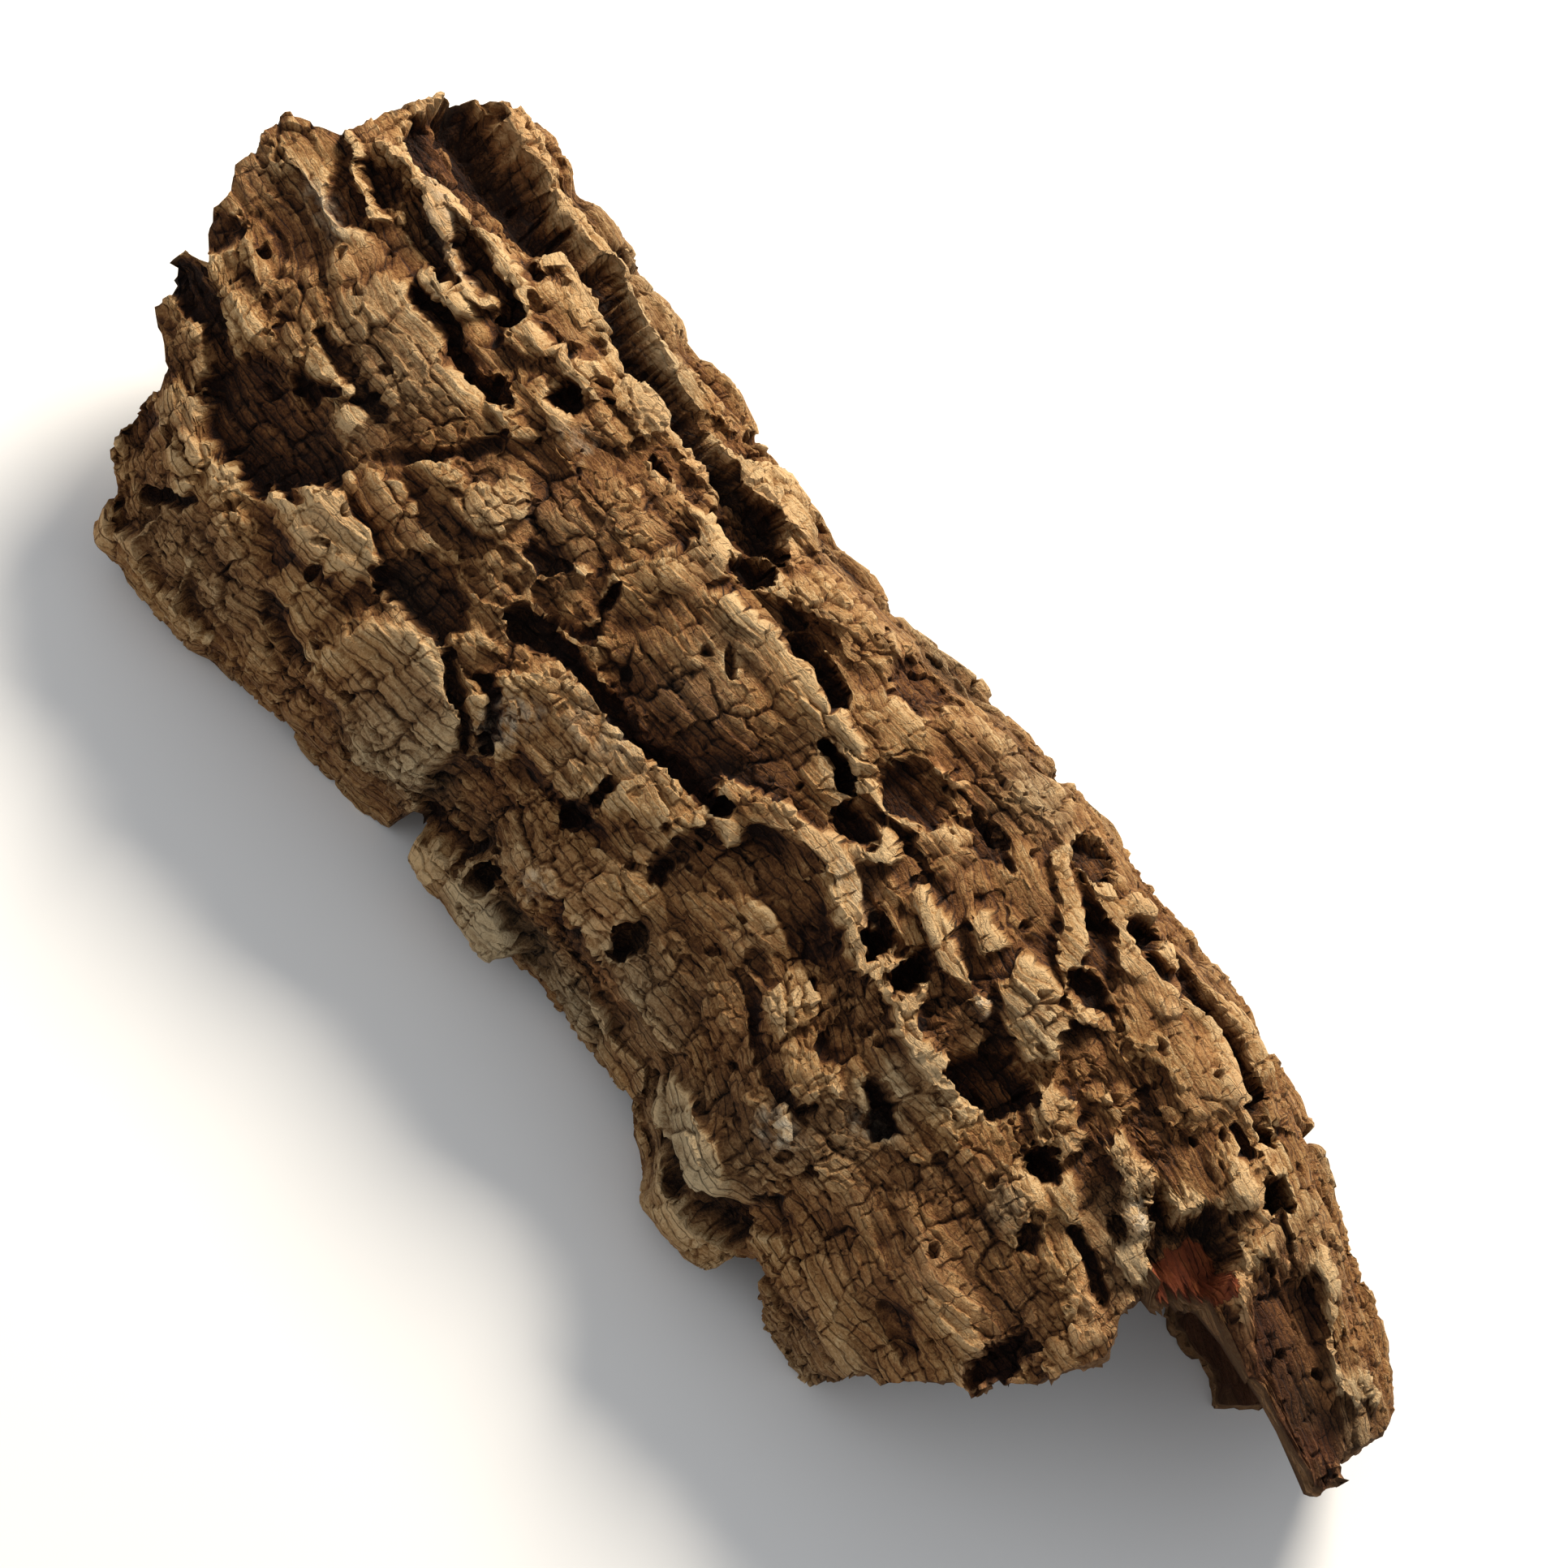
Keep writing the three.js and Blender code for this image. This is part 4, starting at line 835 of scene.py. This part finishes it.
def colour_attribute(name, red_value, green_value, blue_value):
    layer = bark.color_attributes.new(name, "FLOAT_COLOR", "POINT")
    values = np.stack([red_value, green_value, blue_value, np.ones(len(points))], axis=-1)
    layer.data.foreach_set("color", values.astype(np.float32).ravel())


# The spots of painted shadow darken the painted shade
shade = np.clip(shade - 0.3 * painted_shadow, 0, 1)
# The painted shade and light go into the first channel of depth, beside the cracks and the rough share
colour_attribute("depth", all_points(shade, 0.5, 0.5), all_points(crack, 0, 0), all_points(rough, 0, 0.5))
colour_attribute("finish", all_points(fresh, 0, 0.6), all_points(grey, 0, 0), all_points(pale, 0, 0))
colour_attribute("stain", all_points(rusty, 0, 0.3), all_points(0, 0, 0), all_points(0, 0, 0))
colour_attribute("place", all_points(red, 0, 0), all_points(0, 1, 0), all_points(0, 0, 1))


def uv_map(name, values):
    layer = bark.uv_layers.new(name=name)
    layer.data.foreach_set("uv", values[loops].astype(np.float32).ravel())


# The map of the growth layers, in units of 100 mm
MAP_UNIT = 100
ring_share = (np.arange(1, RIM_RINGS) / RIM_RINGS)[:, None]
rim_layers = np.stack([np.broadcast_to(walk, rim.shape[:2]), thick[None, :] * ring_share], -1)
inner_layers = np.stack([x_in, t_in], -1)
layer_xt = np.concatenate([part.reshape(-1, 2) for part in (layers, inner_layers, rim_layers)])
uv_map("layers", layer_xt * (1 / MAP_UNIT))

bark_object = bpy.data.objects.new("rough_bark", bark)
bpy.context.scene.collection.objects.link(bark_object)
bpy.ops.object.select_all(action="DESELECT")
bark_object.select_set(True)
bpy.context.view_layer.objects.active = bark_object
thin = bark_object.modifiers.new("thin", "DECIMATE")
bark.calc_loop_triangles()
thin.ratio = FACES_KEPT / len(bark.loop_triangles)
bpy.ops.object.modifier_apply(modifier="thin")
for vertex in bark.vertices:
    vertex.co.z = max(vertex.co.z, FLOOR)
bpy.ops.object.shade_smooth_by_angle(angle=SMOOTH_ANGLE)


# Material of the bark
cork = bpy.data.materials.new("dry cork bark")
cork.use_nodes = True
tree = cork.node_tree
nodes = tree.nodes
principled = nodes["Principled BSDF"]


def value_or_link(socket, value):
    if isinstance(value, bpy.types.NodeSocket):
        tree.links.new(value, socket)
    else:
        socket.default_value = value


def math_node(kind, a, b=0.0, c=0.0, clamp=False):
    node = nodes.new("ShaderNodeMath")
    node.operation = kind
    node.use_clamp = clamp
    value_or_link(node.inputs[0], a)
    value_or_link(node.inputs[1], b)
    value_or_link(node.inputs[2], c)
    return node.outputs[0]


def span(value, low, high, new_low=0.0, new_high=1.0):
    node = nodes.new("ShaderNodeMapRange")
    value_or_link(node.inputs["Value"], value)
    node.inputs["From Min"].default_value = low
    node.inputs["From Max"].default_value = high
    node.inputs["To Min"].default_value = new_low
    node.inputs["To Max"].default_value = new_high
    return node.outputs[0]


def noise(vector, scale, detail=3.0, roughness=0.6, distortion=0.0):
    node = nodes.new("ShaderNodeTexNoise")
    value_or_link(node.inputs["Vector"], vector)
    node.inputs["Scale"].default_value = scale
    node.inputs["Detail"].default_value = detail
    node.inputs["Roughness"].default_value = roughness
    node.inputs["Distortion"].default_value = distortion
    return node.outputs["Fac"]


def stretched(vector, scale):
    node = nodes.new("ShaderNodeMapping")
    value_or_link(node.inputs["Vector"], vector)
    node.inputs["Scale"].default_value = scale
    return node.outputs[0]


def mix(factor, first, second):
    node = nodes.new("ShaderNodeMix")
    node.data_type = "RGBA"
    value_or_link(node.inputs["Factor"], factor)
    value_or_link(node.inputs["A"], first)
    value_or_link(node.inputs["B"], second)
    return node.outputs["Result"]


def ramp(value, stops):
    node = nodes.new("ShaderNodeValToRGB")
    value_or_link(node.inputs[0], value)
    elements = node.color_ramp.elements
    while len(elements) < len(stops):
        elements.new(0.5)
    for element, (position, colour) in zip(elements, stops):
        element.position = position
        element.color = (*colour, 1)
    return node.outputs[0]


def attribute(name):
    node = nodes.new("ShaderNodeAttribute")
    node.attribute_name = name
    split = nodes.new("ShaderNodeSeparateColor")
    tree.links.new(node.outputs["Color"], split.inputs[0])
    return split.outputs


def uv(name):
    node = nodes.new("ShaderNodeUVMap")
    node.uv_map = name
    return node.outputs[0]


# Colours from the painted shade of the hollows to the painted light on the crests, for the bark and each of
# its tints
BARK_SHADES = [
    (0.0, (0.016, 0.005, 0.002)), (0.2, (0.06, 0.0195, 0.0055)), (0.42, (0.165, 0.063, 0.017)),
    (0.6, (0.3, 0.142, 0.045)), (0.8, (0.45, 0.255, 0.098)), (1.0, (0.68, 0.46, 0.23)),
]
WARM_SHADES = [(0.0, (0.02, 0.008, 0.003)), (0.5, (0.24, 0.105, 0.036)), (1.0, (0.58, 0.34, 0.15))]
GREY_SHADES = [(0.0, (0.01, 0.007, 0.004)), (0.5, (0.165, 0.108, 0.05)), (1.0, (0.52, 0.42, 0.26))]
FRESH_SHADES = [(0.0, (0.05, 0.018, 0.006)), (0.5, (0.42, 0.18, 0.06)), (1.0, (0.7, 0.4, 0.17))]
PALE_SHADES = [(0.0, (0.1, 0.08, 0.06)), (0.5, (0.4, 0.34, 0.24)), (1.0, (0.7, 0.63, 0.5))]
RUSTY_SHADES = [(0.0, (0.016, 0.005, 0.003)), (0.5, (0.11, 0.038, 0.014)), (1.0, (0.4, 0.18, 0.07))]

# Colours of the red patch, the inner face and the broken rim, by a noise
RED_SHADES = [(0.3, (0.1, 0.022, 0.008)), (0.5, (0.17, 0.038, 0.012)), (0.72, (0.25, 0.07, 0.02))]
INNER_SHADES = [(0.25, (0.045, 0.016, 0.008)), (0.5, (0.13, 0.05, 0.022)), (0.75, (0.27, 0.125, 0.055))]
RIM_SHADES = [(0.25, (0.07, 0.035, 0.014)), (0.5, (0.25, 0.13, 0.055)), (0.75, (0.44, 0.27, 0.14))]
ROUGH_FINISH = 0.92
LOW_SPECULAR = 0.25
BUMP_DISTANCE = 1.7

coords = nodes.new("ShaderNodeTexCoord").outputs["Object"]
# shade_of carries the painted shade and light from the mesh
shade_of, crack_of, rough_of = attribute("depth")
fresh_of, grey_of, pale_of = attribute("finish")
red_of, inner_of, rim_of = attribute("place")
rusty_of = attribute("stain")[0]
layer_uv = uv("layers")
split_uv = nodes.new("ShaderNodeSeparateXYZ")
tree.links.new(layer_uv, split_uv.inputs[0])

# Noises on the object's own coordinates, in metres, and on the map of the layers
grain = noise(coords, 1300, 3, 0.75)
crumble = noise(coords, 300, 4, 0.6)
cloudy = noise(coords, 70, 3, 0.55)
broad = noise(coords, 22, 2, 0.5)
streak = noise(stretched(layer_uv, (14, 110, 1)), 1, 3, 0.6, 0.3)
fibre = noise(stretched(layer_uv, (30, 190, 1)), 1, 3, 0.7, 0.4)

# Growth layers: a slow rise and a sharp drop for each one
bend = noise(stretched(layer_uv, (9, 16, 1)), 1, 3, 0.55)
bend = span(bend, 0.3, 0.7, -0.35, 0.35)
layer_phase = math_node("MULTIPLY_ADD", split_uv.outputs[1], MAP_UNIT / LAYER_STEP, bend)
layer_rise = math_node("FRACT", layer_phase)
layer_drop = span(layer_rise, 0.8, 1.0)
layer_profile = math_node("SUBTRACT", layer_rise, math_node("MULTIPLY", layer_drop, 1.4))
groove = math_node("MULTIPLY", span(layer_rise, 0.8, 0.97), span(streak, 0.4, 0.6, 0.1, 1.0))
smoother = math_node("SUBTRACT", 1.0, math_node("MULTIPLY", rough_of, 0.55))
layer_profile = math_node("MULTIPLY", layer_profile, smoother)

# Short cracks across the layers
warped = nodes.new("ShaderNodeVectorMath")
warped.operation = "MULTIPLY_ADD"
warp_noise = nodes.new("ShaderNodeTexNoise")
tree.links.new(layer_uv, warp_noise.inputs["Vector"])
warp_noise.inputs["Scale"].default_value = 45
warp_noise.inputs["Detail"].default_value = 3
tree.links.new(warp_noise.outputs["Color"], warped.inputs[0])
warped.inputs[1].default_value = (0.014, 0.009, 0)
tree.links.new(layer_uv, warped.inputs[2])


def crack_lines(length, width, thickness):
    scale = (MAP_UNIT / length, MAP_UNIT / width, 1)
    node = nodes.new("ShaderNodeTexVoronoi")
    node.feature = "DISTANCE_TO_EDGE"
    node.voronoi_dimensions = "2D"
    value_or_link(node.inputs["Vector"], stretched(warped.outputs[0], scale))
    node.inputs["Scale"].default_value = 1
    node.inputs["Randomness"].default_value = 0.6
    return span(node.outputs["Distance"], 0, thickness, 1, 0)


wide_cracks = crack_lines(7, 6, 0.035)
fine_cracks = crack_lines(3.6, 2.4, 0.06)
fine_cracks = math_node("MULTIPLY", fine_cracks, span(crumble, 0.48, 0.66))
cracks = math_node("MAXIMUM", math_node("MULTIPLY", wide_cracks, span(cloudy, 0.5, 0.62, 0.0, 0.8)),
                   math_node("MULTIPLY", fine_cracks, 0.7))

# The colour's level: painted shade and light from the mesh, random tone, each growth layer painted lighter
# as it rises and darker at its drop, and painted shade in grooves and cracks
level = math_node("ADD", shade_of, span(crumble, 0.3, 0.7, -0.1, 0.1))
level = math_node("ADD", level, span(streak, 0.3, 0.7, -0.06, 0.06))
level = math_node("ADD", level, span(grain, 0.3, 0.7, -0.15, 0.15))
level = math_node("ADD", level, span(fibre, 0.3, 0.7, -0.09, 0.09))
level = math_node("ADD", level, math_node("MULTIPLY", layer_profile, 0.16))
level = math_node("SUBTRACT", level, math_node("MULTIPLY", groove, 0.3))
level = math_node("SUBTRACT", level, math_node("MULTIPLY", cracks, 0.24))
level = math_node("SUBTRACT", level, math_node("MULTIPLY", crack_of, 0.14), clamp=True)
colour = ramp(level, BARK_SHADES)
colour = mix(span(cloudy, 0.45, 0.7, 0, 0.6), colour, ramp(level, WARM_SHADES))
greyish = ramp(level, GREY_SHADES)
colour = mix(span(broad, 0.5, 0.75, 0, 0.6), colour, greyish)
colour = mix(math_node("MULTIPLY", grey_of, 0.8), colour, greyish)
bright = ramp(level, FRESH_SHADES)
colour = mix(math_node("MULTIPLY", fresh_of, span(crumble, 0.35, 0.65, 0.15, 0.95)), colour, bright)
chalk = ramp(level, PALE_SHADES)
colour = mix(math_node("MULTIPLY", pale_of, span(crumble, 0.4, 0.65, 0.0, 0.75)), colour, chalk)
umber = ramp(level, RUSTY_SHADES)
colour = mix(math_node("MULTIPLY", rusty_of, span(cloudy, 0.35, 0.6, 0.5, 1.0)), colour, umber)

# The smooth red patch with its bright outline
red_edge = math_node("ADD", red_of, span(crumble, 0.3, 0.7, -0.1, 0.1))
red_outline = math_node("ABSOLUTE", math_node("SUBTRACT", red_edge, 0.42))
colour = mix(span(red_outline, 0.06, 0.09, 0.9, 0), colour, bright)
red_mask = span(red_edge, 0.48, 0.52)
colour = mix(red_mask, colour, ramp(crumble, RED_SHADES))

# The inner face and the broken rim
underside = ramp(noise(stretched(layer_uv, (4, 24, 1)), 1, 4, 0.65, 0.4), INNER_SHADES)
colour = mix(inner_of, colour, underside)
broken = ramp(noise(stretched(layer_uv, (12, 90, 1)), 1, 4, 0.65, 0.3), RIM_SHADES)
colour = mix(math_node("MULTIPLY", rim_of, 0.8), colour, broken)
tree.links.new(colour, principled.inputs["Base Color"])
principled.inputs["Roughness"].default_value = ROUGH_FINISH
principled.inputs["Specular IOR Level"].default_value = LOW_SPECULAR

# Relief too fine for the mesh
relief_height = math_node("MULTIPLY", layer_profile, 0.9)
relief_height = math_node("MULTIPLY_ADD", streak, 0.3, relief_height)
relief_height = math_node("MULTIPLY_ADD", crumble, 0.6, relief_height)
relief_height = math_node("MULTIPLY_ADD", grain, 0.8, relief_height)
relief_height = math_node("MULTIPLY_ADD", fibre, 0.3, relief_height)
relief_height = math_node("MULTIPLY_ADD", groove, -0.8, relief_height)
relief_height = math_node("MULTIPLY_ADD", cracks, -0.7, relief_height)
relief_height = math_node("MULTIPLY", relief_height, span(red_mask, 0, 1, 1, 0.3))
bump = nodes.new("ShaderNodeBump")
bump.inputs["Strength"].default_value = 1.0
bump.inputs["Distance"].default_value = BUMP_DISTANCE * MM
tree.links.new(relief_height, bump.inputs["Height"])
tree.links.new(bump.outputs[0], principled.inputs["Normal"])
bark.materials.append(cork)

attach(bark_object, "root")
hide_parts("cork_bark")

# Floor, light and camera, with the power of the lights in watts
FLOOR_SIZE = 8
WORLD_STRENGTH = 0.45
KEY_POWER = 49
FILL_POWER = 5
KEY_COLOUR = (1.0, 0.905, 0.775)
FILL_COLOUR = (0.92, 0.95, 1.0)

bpy.ops.object.select_all(action="DESELECT")
bpy.ops.mesh.primitive_plane_add(size=FLOOR_SIZE, location=(0, 0, 0))
floor = bpy.context.object
floor.name = "pale_floor"
paint = bpy.data.materials.new("pale floor paint")
paint.use_nodes = True
paint_inputs = paint.node_tree.nodes["Principled BSDF"].inputs
paint_inputs["Base Color"].default_value = (0.85, 0.85, 0.84, 1)
paint_inputs["Roughness"].default_value = 0.9
floor.data.materials.append(paint)

world = bpy.data.worlds.new("studio")
world.use_nodes = True
background = world.node_tree.nodes["Background"].inputs
background["Color"].default_value = (0.95, 0.97, 1.0, 1)
background["Strength"].default_value = WORLD_STRENGTH
bpy.context.scene.world = world
bpy.context.scene.view_settings.view_transform = "Standard"


def soft_light(name, direction, distance, size, power, colour):
    light = bpy.data.lights.new(name, "AREA")
    light.energy = power
    light.size = size
    light.color = colour
    lamp = bpy.data.objects.new(name, light)
    bpy.context.scene.collection.objects.link(lamp)
    way = Vector(direction).normalized()
    lamp.location = way * distance
    lamp.rotation_euler = way.to_track_quat("Z", "Y").to_euler()


soft_light("key light", (-0.35, 0.72, 0.62), 1.6, 0.55, KEY_POWER, KEY_COLOUR)
soft_light("fill light", (-0.5, -0.7, 0.8), 2.0, 1.6, FILL_POWER, FILL_COLOUR)

VIEW_TOWARD = Vector((0.17, -0.46, 0.87)).normalized()
VIEW_TURN = math.radians(54)
VIEW_DISTANCE = 1.1
VIEW_TARGET = Vector((SHIFT_X, SHIFT_Y, 40)) * MM
VIEW_LENS = 96.68
SENSOR_WIDTH = 36

across = (Vector((1, 0, 0)) - VIEW_TOWARD * VIEW_TOWARD.x).normalized()
upward = VIEW_TOWARD.cross(across)
right_way = across * math.cos(VIEW_TURN) + upward * math.sin(VIEW_TURN)
up_way = upward * math.cos(VIEW_TURN) - across * math.sin(VIEW_TURN)
camera_data = bpy.data.cameras.new("camera")
camera_data.lens = VIEW_LENS
camera_data.sensor_width = SENSOR_WIDTH
camera = bpy.data.objects.new("camera", camera_data)
bpy.context.scene.collection.objects.link(camera)
turn_matrix = Matrix((right_way, up_way, VIEW_TOWARD)).transposed().to_4x4()
turn_matrix.translation = VIEW_TARGET + VIEW_TOWARD * VIEW_DISTANCE
camera.matrix_world = turn_matrix
bpy.context.scene.camera = camera
